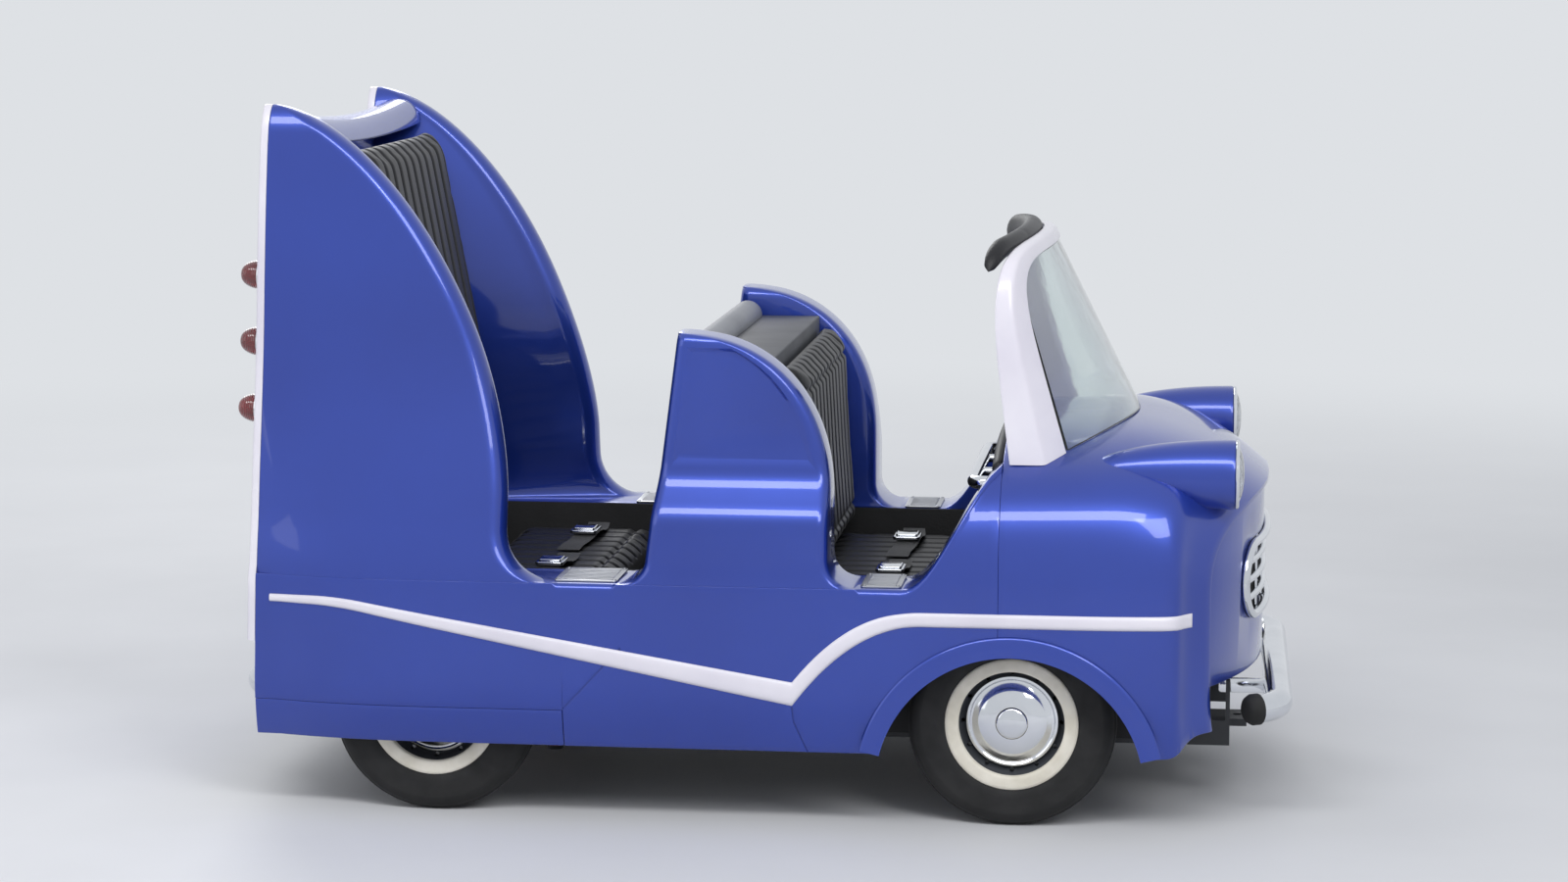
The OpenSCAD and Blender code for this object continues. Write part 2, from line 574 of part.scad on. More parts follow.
// Windscreen: pillars and header in one sweep, the glass and the padded roll
screen_half = half_w - 120;
screen_gap = 46;
screen_bow = 190;
screen_top_z = 1045;
function screen_base(u) = [cowl_x + screen_gap + screen_bow * pow(1 - u * u, 0.7), screen_half * u];
function screen_base_z(p) = clip_foot_z + (clip_top(p[0]) - clip_foot_z)
    * pow(1 - pow(min(0.999, abs(p[1]) / plan_y(p[0])), clip_power), 1 / clip_power);
function screen_top(u) = [cowl_x - 30 + 90 * pow(1 - u * u, 0.7), (screen_half - 35) * u, screen_top_z + 22 * (1 - u * u)];
function screen_at(u, v, ahead, lift) = let (
    b = screen_base(u), zb = screen_base_z(b) + lift, t = screen_top(u)
) [lerp(b[0], t[0], v) + ahead, lerp(b[1], t[1], v), lerp(zb, t[2], v)];
glass_t = 6;
screen_power = 8;
function screen_edge(t) = pow(1 - pow(abs(t), screen_power), 1 / screen_power);
module windscreen() color("lightblue") {
    us = [for (t = [-0.985, -0.95, -0.9, -0.8, -0.6, -0.4, -0.2, 0, 0.2, 0.4, 0.6, 0.8, 0.9, 0.95, 0.985]) t];
    skins = [for (ahead = [glass_t, 0]) [for (t = us) [for (v = [0, 0.25, 0.5, 0.75, 1])
        screen_at(0.895 * t, 0.925 * v * screen_edge(t), ahead, 1.4)]]];
    walled(skins[0], skins[1]);
}
module windscreen_frame() color(white) {
    rise = [0, 0.2, 0.4, 0.6, 0.76];
    run = [0.95, 0.9, 0.8, 0.6, 0.4, 0.2];
    path = concat(
        [for (v = rise) [-screen_edge(v), v]], [for (u = run) [-u, screen_edge(u)]], [[0, 1]],
        [for (i = [len(run) - 1 : -1 : 0]) [run[i], screen_edge(run[i])]],
        [for (i = [len(rise) - 1 : -1 : 0]) [screen_edge(rise[i]), rise[i]]]
    );
    lofted([for (p = path) let (deep = lerp(38, 14, p[1])) [
        screen_at(p[0], p[1], -deep, 1.6), screen_at(p[0], p[1], deep * 0.8, 1.6),
        screen_at(0.9 * p[0], 0.93 * p[1], glass_t + 5, 1.6), screen_at(0.9 * p[0], 0.93 * p[1], -6, 1.6)
    ]]);
}
module header_pad() color(black) {
    pad_r = 18;
    rings = [for (i = [-10 : 10]) let (p = screen_at(i / 10 * 0.93, 0.985, -16 - pad_r, 2))
        [for (a = [0 : 45 : 315]) [p[0] + pad_r * cos(a), p[1], p[2] + pad_r * sin(a)]]];
    lofted(rings);
}

// Bulkhead and padded dash under the cowl, and the rail in front of the passengers
dash_x = cowl_x + 3;
module dash() color(grey) {
    across(dash_x, 12) difference() {
        clip_inside(dash_x + 6, sill_z + 8);
        translate([-tub_w / 2 + 40, sill_z - 60]) square([tub_w - 80, 120]);
    }
}
module grab_bar() color(chrome) translate([dash_x, 0, 600]) {
    rotate([90, 0, 0]) translate([-70, 0, 0]) cylinder(r = 13, h = 480, center = true);
    for (s = [-1, 1]) translate([-70, s * 180, 0]) along_x() cylinder(r = 9, h = 70 - fit);
}

// Seating tub: floor, walls, seat bulkhead and toe board
tub_rear = [seat_back_x - 15, seat_back_x + 50];
tub_front = [nose_x - 245, nose_x - 155];
toe_z = 320;
tub_side = [[tub_rear[0], sill_z], [tub_rear[1], tub_floor_z], [tub_front[0], tub_floor_z], [tub_front[1], toe_z], [tub_front[1], sill_z]];
function tub_inner(t) = [
    [tub_rear[0] + t, sill_z + 1], [tub_rear[1] + t, tub_floor_z + t], [tub_front[0] - t * 0.5, tub_floor_z + t],
    [tub_front[1] - t, toe_z + t], [tub_front[1] - t, sill_z + 1]
];
module along_y(w) rotate([90, 0, 0]) linear_extrude(w, center = true) children();
module tub() color(black) difference() {
    along_y(tub_w + 2 * tub_t) polygon(tub_side);
    along_y(tub_w) polygon(tub_inner(tub_t));
}

// Moulded back of the front seat, open below for the rear passengers' feet
divider_x = [pod_rear_x - 13, pod_rear_x + 165];
divider_z = 880;
foot_z = 545;
handle_y = cushion_w / 2 - 98;
handle_z = 745;
module rounded_slab(w, h, r) {
    square([w, h - 2 * r], center = true);
    square([w - 2 * r, h], center = true);
    for (sx = [-1, 1]) for (sy = [-1, 1]) translate([sx * (w / 2 - r), sy * (h / 2 - r)]) circle(r);
}
module seat_divider() color(grey) difference() {
    union() {
        along_y(cushion_w) polygon([
            [divider_x[0], tub_floor_z + tub_t], [divider_x[1], tub_floor_z + tub_t], [divider_x[1], divider_z - 30],
            [divider_x[0] + 60, divider_z - 30], [divider_x[0], divider_z - 60]
        ]);
        translate([divider_x[0] + 30, 0, divider_z - 30]) rotate([90, 0, 0]) cylinder(r = 30, h = cushion_w, center = true);
    }
    across(divider_x[0] - 1, divider_x[1] - divider_x[0] - 10) translate([0, (foot_z + tub_floor_z) / 2 - 30])
        rounded_slab(cushion_w - 76, foot_z - tub_floor_z + 60, 50);
    for (s = [-1, 1]) across(divider_x[0] - 1, 34) translate([s * handle_y, handle_z]) rounded_slab(76, 106, 26);
}
module grab_handles() color(chrome) for (s = [-1, 1]) translate([divider_x[0] + 33, s * handle_y, handle_z]) {
    for (e = [-1, 1]) translate([0, 0, e * 30]) rotate([0, -90, 0]) cylinder(r = 7, h = 32);
    translate([-32, 0, 0]) cylinder(r = 9, h = 78, center = true);
}

// Boxes under the two benches
base_x = [[seat_back_x + 60, seat_back_x + 390], [divider_x[1] + fit, 400]];
module seat_bases() color(black) for (span = base_x) difference() {
    translate([span[0], -cushion_w / 2, tub_floor_z + tub_t]) cube([span[1] - span[0], cushion_w, seat_z - cushion_t - tub_floor_z - tub_t]);
    translate([span[0] + 12, -cushion_w / 2 + 12, tub_floor_z + tub_t - 1]) cube([span[1] - span[0] - 24, cushion_w - 24, seat_z - cushion_t - tub_floor_z - tub_t - 11]);
}

// Cushions and back rests
module bench(span, w) along_y(w) polygon([
    [span[0], seat_z - cushion_t + fit], [span[1] - 20, seat_z - cushion_t + fit], [span[1], seat_z - cushion_t + 20],
    [span[1], seat_z - 25], [span[1] - 25, seat_z], [span[0], seat_z - 8]
]);
module rear_cushion() color(black) bench([base_x[0][0] + 10, base_x[0][1] + 12], cushion_w);
module front_cushion() color(black) bench([base_x[1][0] + 4, base_x[1][1] + 12], cushion_w);
back_w = tub_w - 98;
back_t = 68;
back_levels = [700, 760, 1180, 1236];
back_rear = [
    [seat_z + 6, seat_back_x], [back_levels[1], seat_back_x - 80], [back_levels[2], seat_back_x - 116], [back_levels[3], seat_back_x - 108]
];
module rear_back() color(black) along_y(back_w) polygon(concat(
    [[seat_back_x, seat_z + 6], [seat_back_x + back_t, seat_z + 6], [seat_back_x + 40, back_levels[0]]],
    [for (p = [[-52, 10], [-66, 58], [-90, 66], [-108, 56]]) [seat_back_x + p[0], back_levels[2] + p[1]]],
    [[seat_back_x - 116, back_levels[2]], [seat_back_x - 80, back_levels[1]]]
));

// Moulded shell behind the rear back rest, from fin to fin
shell_levels = [sill_z + 1, 500, 560, 640, back_levels[0], back_levels[1], 850, 930, 1010, 1090, 1150, back_levels[2]];
module rear_shell() color(grey) {
    skins = [for (t = [7, 0]) [for (u = [1 : -0.25 : -1]) [for (z = shell_levels) let (x = lookup(z, back_rear) - 1.5 - t)
        [x, u * (fin_inner_y(x, z) - 2), z]]]];
    walled(skins[0], skins[1]);
}
module front_back() color(black) along_y(cushion_w - 30) polygon([
    [divider_x[1] + fit, seat_z + 8], [divider_x[1] + 82, seat_z + 8], [divider_x[1] + 66, 620], [divider_x[1] + 56, 810],
    [divider_x[1] + 40, 842], [divider_x[1] + fit, 846]
]);

// Lap belts lying across the cushions
module belt(x, y) translate([x, y, seat_z - 3.2]) rotate([90, 0, 90]) linear_extrude(belt_w, center = true)
    polygon([[-170, 1], [-130, 8], [-60, 20], [0, 24], [60, 20], [130, 8], [170, 1], [170, 4], [130, 12], [60, 24], [0, 28], [-60, 24], [-130, 12], [-170, 4]]);
module lap_belts() color(black) for (x = [base_x[0][0] + 200, base_x[1][0] + 200]) for (s = [-1, 1]) belt(x, s * 190);

// Tubular bumpers with bent ends, on brackets
bumper_r = 26;
bumper_z = 215;
bumper_w = body_w - 440;
bumper_bend_r = 90;
bumper_turn = 60;
bracket_l = 110;
module bumper() {
    translate([half_l - bumper_r, 0, bumper_z]) rotate([90, 0, 0]) cylinder(r = bumper_r, h = bumper_w, center = true);
    both_sides() translate([half_l - bumper_r - bumper_bend_r, bumper_w / 2, bumper_z]) {
        rotate_extrude(angle = bumper_turn) translate([bumper_bend_r, 0]) circle(bumper_r);
        rotate([0, 0, bumper_turn]) translate([bumper_bend_r, 0, 0]) rotate([-90, 0, 0])
            rotate_extrude() polygon([
                [0, -8], [bumper_r + 3, -8], [bumper_r + 3, 6], [bumper_r - 2, 14], [bumper_r - 12, 19], [0, 20]
            ]);
    }
    for (s = [-1, 1]) translate([half_l - bumper_r - bracket_l, s * rail_track / 2 - 4, bumper_z - 12]) cube([bracket_l, 8, 24]);
}
module bumpers() color(chrome) {
    bumper();
    mirror([1, 0, 0]) bumper();
}

// Ladder chassis with its truck pivots and tow eyes
rail_z = tub_floor_z - rail_h - fit;
rail_x = [120 - half_l, half_l - 118];
truck_x = [-450, 328];
beam_z = tyre_r - beam_drop;
cross_x = [rail_x[0] + 50, truck_x[0], -60, truck_x[1], rail_x[1] - 52];
deck_bolt_x = [-300, 180];
tow_r = 9;
deck_bolt_r = 6.5;
module chassis() color(steel) difference() {
    union() {
        for (s = [-1, 1]) translate([rail_x[0], s * rail_track / 2 - rail_w / 2, rail_z]) cube([rail_x[1] - rail_x[0], rail_w, rail_h]);
        for (x = cross_x) translate([x - 20, -rail_track / 2 + rail_w / 2, rail_z]) cube([40, rail_track - rail_w, rail_h]);
        for (x = truck_x) translate([x - 52, -70, rail_z]) cube([104, 140, rail_h]);
        for (x = truck_x) translate([x - 70, -34, rail_z]) cube([140, 68, rail_h]);
        for (s = [-1, 1]) translate([s > 0 ? rail_x[1] - 62 : rail_x[0] - 38, -45, rail_z]) cube([100, 90, 14]);
        for (s = [-1, 1]) for (e = [0, 1]) translate([rail_x[e] - 4, s * rail_track / 2 - rail_w / 2, rail_z])
            cube([8, rail_w / 2 - 4.3, bumper_z + 12 - rail_z]);
    }
    for (x = [rear_axle_x, front_axle_x]) translate([x, 0, beam_z]) rotate([90, 0, 0]) cylinder(r = beam_r + 0.3, h = rail_track + 2 * rail_w, center = true);
    for (x = truck_x) translate([x, 0, rail_z - 1]) cylinder(r = kingpin_r + run_fit, h = rail_h + 2);
    for (e = [0, 1]) translate([e == 0 ? rail_x[0] - 20 : rail_x[1] + 20, 0, rail_z - 1]) cylinder(r = tow_r, h = 20);
    for (x = deck_bolt_x) for (s = [-1, 1])
        translate([x, s * rail_track / 2, rail_z - 1]) cylinder(r = deck_bolt_r, h = rail_h + 2);
}

// Axle beams, knuckles and stub axles
wheel_y = half_w - 107;
knuckle_y = [wheel_y - tyre_w / 2 + 2, wheel_y - tyre_w / 2 + 26];
module axle() {
    translate([0, 0, beam_z]) rotate([90, 0, 0]) cylinder(r = beam_r, h = 2 * knuckle_y[1], center = true);
    for (s = [-1, 1]) {
        translate([0, s * (knuckle_y[0] + knuckle_y[1]) / 2, 0]) rotate([90, 0, 0]) {
            translate([0, tyre_r, 0]) cylinder(r = stub_r + 9, h = knuckle_y[1] - knuckle_y[0], center = true);
            translate([0, (tyre_r + beam_z) / 2, 0]) cube([2 * stub_r, beam_drop, knuckle_y[1] - knuckle_y[0]], center = true);
            translate([0, beam_z, 0]) cylinder(r = beam_r + 4, h = knuckle_y[1] - knuckle_y[0], center = true);
        }
        translate([0, s * (knuckle_y[1] + 22), tyre_r]) rotate([90, 0, 0]) cylinder(r = stub_r, h = 56, center = true);
    }
}
module axles() color(steel) for (x = [rear_axle_x, front_axle_x]) translate([x, 0, 0]) axle();

// Wheels: pressed rims with domed caps, and tyres with white walls
module rim() rotate_extrude() difference() {
    union() {
        translate([rim_r - 6, -38]) square([6 - 0.1, 76]);
        translate([rim_r - 4, -42]) square([8, 4]);
        translate([rim_r - 4, 38]) square([8, 4]);
        translate([0, 6]) square([rim_r - 2, 6]);
        translate([0, -12]) square([32, 30]);
        polygon([[0, 12], [78, 12], [76, 18], [62, 26], [40, 33], [18, 37], [0, 38]]);
    }
    translate([0, -33]) square([stub_r + run_fit, 66]);
}
module tyre() rotate_extrude() polygon([
    [rim_r, -37.9], [rim_r + 4.2, -37.9], [rim_r + 4.2, -42.1], [rim_r + 22, -tyre_w / 2], [tyre_r - 32, -tyre_w / 2], [tyre_r - 12, -tyre_w / 2 + 8],
    [tyre_r - 2, -tyre_w / 2 + 20], [tyre_r, 0], [tyre_r - 2, tyre_w / 2 - 20], [tyre_r - 12, tyre_w / 2 - 8],
    [tyre_r - 32, tyre_w / 2], [rim_r + 22, tyre_w / 2], [rim_r + 4.2, 42.1], [rim_r + 4.2, 37.9], [rim_r, 37.9]
]);
module wheel_at(x, s) translate([x, s * wheel_y, tyre_r]) rotate([-90 * s, 0, 0]) children();
module rim_fr() color(chrome) wheel_at(front_axle_x, -1) rim();
module rim_fl() color(chrome) wheel_at(front_axle_x, 1) rim();
module rim_rr() color(chrome) wheel_at(rear_axle_x, -1) rim();
module rim_rl() color(chrome) wheel_at(rear_axle_x, 1) rim();
module tyre_fr() color(black) wheel_at(front_axle_x, -1) tyre();
module tyre_fl() color(black) wheel_at(front_axle_x, 1) tyre();
module tyre_rr() color(black) wheel_at(rear_axle_x, -1) tyre();
module tyre_rl() color(black) wheel_at(rear_axle_x, 1) tyre();

// Guide trucks: a plate on a kingpin, with a roller each side of the rail
truck_plate_z = 78;
truck_plate_t = 12;
roller_y = guide_rail_w / 2 + roller_r;
roller_h = 34;
roller_pin_r = 9;
module truck(x) color(steel) translate([x, 0, 0]) {
    translate([0, 0, truck_plate_z]) linear_extrude(truck_plate_t) union() {
        square([56, 2 * roller_y], center = true);
        for (s = [-1, 1]) translate([0, s * roller_y]) circle(28);
    }
    translate([0, 0, truck_plate_z + 4]) cylinder(r = kingpin_r, h = tub_floor_z - truck_plate_z - 8);
    for (s = [-1, 1]) translate([0, s * roller_y, 0]) {
        translate([0, 0, truck_plate_z - roller_h - 12]) cylinder(r = roller_pin_r, h = roller_h + 13);
        translate([0, 0, truck_plate_z - roller_h - 18]) cylinder(r = roller_pin_r + 6, h = 7);
    }
}
module truck_front() truck(truck_x[1]);
module truck_rear() truck(truck_x[0]);
module roller(x, s) color(grey) translate([x, s * roller_y, truck_plate_z - roller_h - 6]) rotate_extrude() polygon([
    [roller_pin_r + run_fit, -4.9], [roller_pin_r + 8, -4.9], [roller_pin_r + 8, 0], [roller_r - 4, 0], [roller_r, 4], [roller_r, roller_h - 8],
    [roller_r - 4, roller_h - 4], [roller_pin_r + 8, roller_h - 4], [roller_pin_r + 8, roller_h + 5.9], [roller_pin_r + run_fit, roller_h + 5.9]
]);
module roller_fr() roller(truck_x[1], -1);
module roller_fl() roller(truck_x[1], 1);
module roller_rr() roller(truck_x[0], -1);
module roller_rl() roller(truck_x[0], 1);

side_right();
side_left();
fin_right();
fin_left();
pods();
wheel_skirts();
bezels();
tail_lamps();
rear_panel();
front_clip();
nose_panel();
grille();
headlamp_pods();
headlamps();
arch_lips();
side_trim();
sill_plates();
windscreen_frame();
windscreen();
header_pad();
dash();
grab_bar();
tub();
seat_divider();
grab_handles();
seat_bases();
rear_cushion();
rear_back();
rear_shell();
front_cushion();
front_back();
lap_belts();
bumpers();
chassis();
axles();
rim_fr();
rim_fl();
rim_rr();
rim_rl();
tyre_fr();
tyre_fl();
tyre_rr();
tyre_rl();
truck_front();
truck_rear();
roller_fr();
roller_fl();
roller_rr();
roller_rl();
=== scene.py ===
"""Fairground ride car with tail fins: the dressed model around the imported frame.

X runs to the front of the car, Y to its left and Z up. Shapes are worked out
in millimetres and turned to metres where a mesh is made.
"""

import math
from contextlib import contextmanager

import bpy
import numpy as np
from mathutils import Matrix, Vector


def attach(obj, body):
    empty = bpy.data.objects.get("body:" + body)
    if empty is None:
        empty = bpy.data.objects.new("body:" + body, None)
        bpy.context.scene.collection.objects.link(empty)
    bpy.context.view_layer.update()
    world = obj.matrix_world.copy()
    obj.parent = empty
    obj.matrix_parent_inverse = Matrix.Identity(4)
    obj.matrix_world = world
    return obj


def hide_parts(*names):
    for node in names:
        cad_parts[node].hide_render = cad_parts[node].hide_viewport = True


bl_info = {
    "name": "Finned Ride Car",
    "version": (1, 0, 0),
    "blender": (4, 5, 0),
    "location": "View3D > Sidebar > Ride Car",
    "description": "Models a fairground ride car with tail fins around its packed frame",
    "category": "Add Mesh",
}

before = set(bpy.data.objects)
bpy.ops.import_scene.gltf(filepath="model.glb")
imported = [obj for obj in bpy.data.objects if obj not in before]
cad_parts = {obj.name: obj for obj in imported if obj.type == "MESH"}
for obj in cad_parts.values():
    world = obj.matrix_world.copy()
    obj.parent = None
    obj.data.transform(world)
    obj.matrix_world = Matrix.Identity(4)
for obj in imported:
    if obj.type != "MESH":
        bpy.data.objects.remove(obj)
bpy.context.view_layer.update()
MM = 0.001
BODY = "car"
SIDES = (("right", -1), ("left", 1))

# A look is a finish and a slot of the record
PAINT = ("metallic blue lacquer", "body_paint")
WHITE = ("white gel coat", "white_gloss")
CHROME = ("chrome plate", "chrome")
STEEL = ("brushed stainless", "brushed_steel")
VINYL = ("grained black vinyl", "black_vinyl")
LINER = ("black spray liner", "black_liner")
GREY = ("moulded grey polyethylene", "grey_plastic")
# The paler grey look is a painted highlight: a lit copy of the grey plastic
GREY_PAINTED_HIGHLIGHT = ("light grey polyethylene", "grey_plastic")

# Places shared with the frame, in millimetres
HALF_L, HALF_W = 990.0, 560.0
LOWER_Z, SILL_Z, SILL_R = 140.0, 448.0, 14.0
FRONT_AXLE, REAR_AXLE, WHEEL_Y = 478.0, -600.0, 453.0
TYRE_R, TYRE_W, RIM_R = 192.0, 90.0, 115.0
COWL_X, COWL_Z, NOSE_X, CLIP_FOOT = 455.0, 671.0, 945.0, 420.0
CLIP_POWER = 3.2
NOSE_SWEEP, SWEEP_X = 112.0, 735.0
FIN_X, FIN_TIP_Z, FIN_RUN, FIN_BEND, FIN_POWER = -901.0, 1313.0, 448.0, 600.0, 1.66
FIN_T, FIN_EDGE, FIN_TAPER, FIN_FOOT, REAR_LEAN = 150.0, 64.0, 400.0, 90.0, 0.03
POD_X, POD_TOP, POD_RUN, POD_BEND, POD_POWER = -137.0, 904.0, 281.0, 600.0, 2.2
POD_FOOT, POD_ROUND, POD_SLANT = 50.0, 20.0, 53.0
TUB_HALF = 400.0
SEAT_Z = 405.0
SKIRT_X, SKIRT_Z = -344.0, 211.0
ARCH_Z, ARCH_R, ARCH_DROP = 85.0, 253.6, 55.0
ARCH_HALF = math.sqrt(ARCH_R**2 - ARCH_DROP**2)
DASH_X = 458.0
TRUCK_X = {"front": 328.0, "rear": -450.0}


def lerp(a, b, t):
    return a + (b - a) * t


def clamp(t):
    return min(1.0, max(0.0, t))


def ease(t):
    u = clamp(t)
    return u * u * (3 - 2 * u)


def spread(a, b, count):
    return [lerp(a, b, i / (count - 1)) for i in range(count)]


def cosd(a):
    return math.cos(math.radians(a))


def sind(a):
    return math.sin(math.radians(a))


# Mesh helpers
def choose(obj):
    bpy.ops.object.select_all(action="DESELECT")
    obj.select_set(True)
    bpy.context.view_layer.objects.active = obj


@contextmanager
def editing(obj, mode="FACE"):
    """Opens a piece in edit mode with all of it selected."""
    choose(obj)
    bpy.ops.object.mode_set(mode="EDIT")
    bpy.ops.mesh.select_mode(type=mode)
    bpy.ops.mesh.select_all(action="SELECT")
    yield
    bpy.ops.object.mode_set(mode="OBJECT")


def outward(obj, weld=1e-6):
    """Welds a mesh's shared points and turns its faces outwards."""
    with editing(obj, "VERT"):
        bpy.ops.mesh.remove_doubles(threshold=weld)
        bpy.ops.mesh.normals_make_consistent(inside=False)
    return obj


def new_piece(name, points, faces=(), edges=()):
    """A mesh object from points in millimetres."""
    mesh = bpy.data.meshes.new(name)
    mesh.from_pydata([[c * MM for c in p] for p in points], edges, faces)
    mesh.validate()
    obj = bpy.data.objects.new(name, mesh)
    bpy.context.scene.collection.objects.link(obj)
    return obj


def modify(obj, kind, **settings):
    """Adds a modifier and applies it."""
    choose(obj)
    bpy.ops.object.modifier_add(type=kind)
    modifier = obj.modifiers[-1]
    for key, value in settings.items():
        setattr(modifier, key, value)
    bpy.ops.object.modifier_apply(modifier=modifier.name)
    return obj


def rounded(obj, width, segments=2, angle=35):
    return modify(obj, "BEVEL", width=width * MM, segments=segments, limit_method="ANGLE",
                  angle_limit=math.radians(angle), use_clamp_overlap=True)


def cut(obj, *cutters):
    """Takes each cutter out of a piece."""
    for cutter in cutters:
        modify(obj, "BOOLEAN", operation="DIFFERENCE", object=cutter, solver="MANIFOLD")
        bpy.data.objects.remove(cutter)
    return obj


def named(obj, name):
    obj.name = name
    obj.data.name = name
    return obj


def joined(name, *objs):
    if len(objs) > 1:
        choose(objs[0])
        for obj in objs[1:]:
            obj.select_set(True)
        bpy.ops.object.join()
    return named(objs[0], name)


def mirrored(obj, name):
    """The same piece on the car's other side, with its own mesh."""
    choose(obj)
    bpy.ops.object.duplicate()
    twin = named(bpy.context.active_object, name)
    for vertex in twin.data.vertices:
        vertex.co.y = -vertex.co.y
    with editing(twin):
        bpy.ops.mesh.flip_normals()
    return twin


def walled(name, outer, inner):
    """A shell between an outer and an inner grid of points."""
    rows, cols = len(outer), len(outer[0])
    count = rows * cols
    faces = []
    for i in range(rows - 1):
        for j in range(cols - 1):
            a, d = i * cols + j, (i + 1) * cols + j
            face = (a, a + 1, d + 1, d)
            faces += [face, tuple(count + k for k in reversed(face))]
    rim = [(0, j) for j in range(cols - 1)] + [(i, cols - 1) for i in range(rows - 1)]
    rim += [(rows - 1, j) for j in range(cols - 1, 0, -1)] + [(i, 0) for i in range(rows - 1, 0, -1)]
    loop = [i * cols + j for i, j in rim]
    for a, b in zip(loop, loop[1:] + loop[:1]):
        faces.append((b, a, count + a, count + b))
    points = [p for row in outer for p in row] + [p for row in inner for p in row]
    return outward(new_piece(name, points, faces))


def lofted(name, rings, closed=False):
    """A solid through a stack of rings, or a ring of rings when closed."""
    n, count = len(rings[0]), len(rings)
    faces = []
    for i in range(count if closed else count - 1):
        a, b = i * n, (i + 1) % count * n
        faces += [(a + j, b + j, b + (j + 1) % n, a + (j + 1) % n) for j in range(n)]
    if not closed:
        faces += [tuple(range(n)), tuple((count - 1) * n + j for j in reversed(range(n)))]
    return outward(new_piece(name, [p for ring in rings for p in ring], faces))


def turned(name, profile, centre, axis=(0, 1, 0), steps=72):
    """Spins an outline of (radius, height) pairs round an axis."""
    axis = Vector(axis).normalized()
    out = axis.orthogonal().normalized()
    middle = Vector(centre)
    points = [middle + out * r + axis * h for r, h in profile]
    obj = new_piece(name, points, edges=[(i, i + 1) for i in range(len(points) - 1)])
    with editing(obj, "VERT"):
        bpy.ops.mesh.spin(steps=steps, angle=math.radians(360), center=middle * MM, axis=axis)
    return outward(obj, 2e-6)


def plate(name, outline, plane, low, high, edge=0.0, segments=2):
    """Extrudes a flat outline square to plane, which is X, Y or Z."""
    way = "XYZ".index(plane)
    points = [(*pair[:way], low, *pair[way:]) for pair in outline]
    along = Vector([float(k == way) for k in range(3)])
    obj = new_piece(name, points, [tuple(range(len(outline)))])
    with editing(obj):
        bpy.ops.mesh.extrude_region_move(TRANSFORM_OT_translate={"value": along * (high - low) * MM})
    outward(obj)
    return rounded(obj, edge, segments) if edge else obj


def box_outline(a0, a1, b0, b1, r=0.0, steps=6):
    """A rectangle's outline, with rounded corners."""
    if not r:
        return [(a0, b0), (a1, b0), (a1, b1), (a0, b1)]
    corners = ((a1 - r, b1 - r, 0), (a0 + r, b1 - r, 90), (a0 + r, b0 + r, 180), (a1 - r, b0 + r, 270))
    return [p for a, b, start in corners for p in arc((a, b), r, start, start + 90, steps)]


def arc(centre, radius, start, stop, steps):
    return [(centre[0] + radius * cosd(a), centre[1] + radius * sind(a)) for a in spread(start, stop, steps)]


def tube(name, path, radius, closed=False, sides=6):
    """A round bar along a path of points."""
    curve = bpy.data.curves.new(name, "CURVE")
    curve.dimensions = "3D"
    curve.bevel_depth = radius * MM
    curve.bevel_resolution = sides
    curve.use_fill_caps = True
    spline = curve.splines.new("POLY")
    spline.points.add(len(path) - 1)
    for point, at in zip(spline.points, path):
        point.co = (at[0] * MM, at[1] * MM, at[2] * MM, 1)
    spline.use_cyclic_u = closed
    obj = bpy.data.objects.new(name, curve)
    bpy.context.scene.collection.objects.link(obj)
    choose(obj)
    bpy.ops.object.convert(target="MESH")
    return outward(bpy.context.active_object, 1e-7)


def rolled(name, places, step):
    """A roll across the car through (x, y, z, radius along, radius up) places."""
    turns = range(0, 360, step)
    rings = [[(x + rx * cosd(a), y, z + rz * sind(a)) for a in turns] for x, y, z, rx, rz in places]
    return lofted(name, rings)


def screws(places, r=4.2):
    """Domed screw heads that look up, with a slot across each."""
    heads = []
    for x, y, z in places:
        dome = [(0, -1), (r, -1), (r, 0.5), (r * 0.8, 1.3), (r * 0.45, 1.8), (0, 2)]
        head = turned("screw", dome, (x, y, z), (0, 0, 1), 20)
        slot = box_outline(x - r - 1, x + r + 1, y - 0.6, y + 0.6)
        heads.append(cut(head, plate("cutter", slot, "Z", z + 0.9, z + r + 1)))
    return heads


def dress(obj, look, *replaces, body=BODY, smooth=38):
    """Gives a piece its finish and the body it rides on; the look's record slot is not used."""
    finish, slot = look
    obj.data.materials.clear()
    obj.data.materials.append(FINISHES[finish])
    choose(obj)
    bpy.ops.object.shade_smooth_by_angle(angle=math.radians(smooth))
    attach(obj, body)
    if replaces:
        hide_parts(*replaces)
    return obj


def dress_pair(obj, look, cad, smooth=38):
    """Dresses a piece of the right side, and its mirrored twin on the left."""
    dress(obj, look, cad, smooth=smooth)
    twin = mirrored(obj, obj.name.replace("right", "left"))
    dress(twin, look, cad.replace("right", "left"), smooth=smooth)


# Form of the body, the same as in the frame
def plan_y(x):
    """Half width of the body in plan."""
    if x < -500:
        return HALF_W - 48 * ((-500 - x) / 425) ** 3
    if x > 600:
        return HALF_W - 120 + 120 * math.sqrt(1 - ((x - 600) / 360) ** 2)
    return HALF_W


def tuck(z):
    """How far the flank turns in toward its lower edge."""
    start = SILL_Z - 188
    return 24 * clamp((start - z) / (start - LOWER_Z)) ** 2


def clip_top(x):
    """Height of the front end along the middle."""
    return 720 - 8 * clamp((690 - x) / 235) - 122 * clamp((x - 650) / 300) ** 2.1


def swept(x, y, z):
    """A place on the front end, swept back toward the car's sides."""
    back = min(1.0, abs(y) / plan_y(x)) ** 2.4 * ease((x - SWEEP_X) / (NOSE_X - SWEEP_X))
    return x - NOSE_SWEEP * back, y, z


def superellipse(rise, power):
    """How far a curve still reaches out at a share of its height."""
    return (1 - rise**power) ** (1 / power)


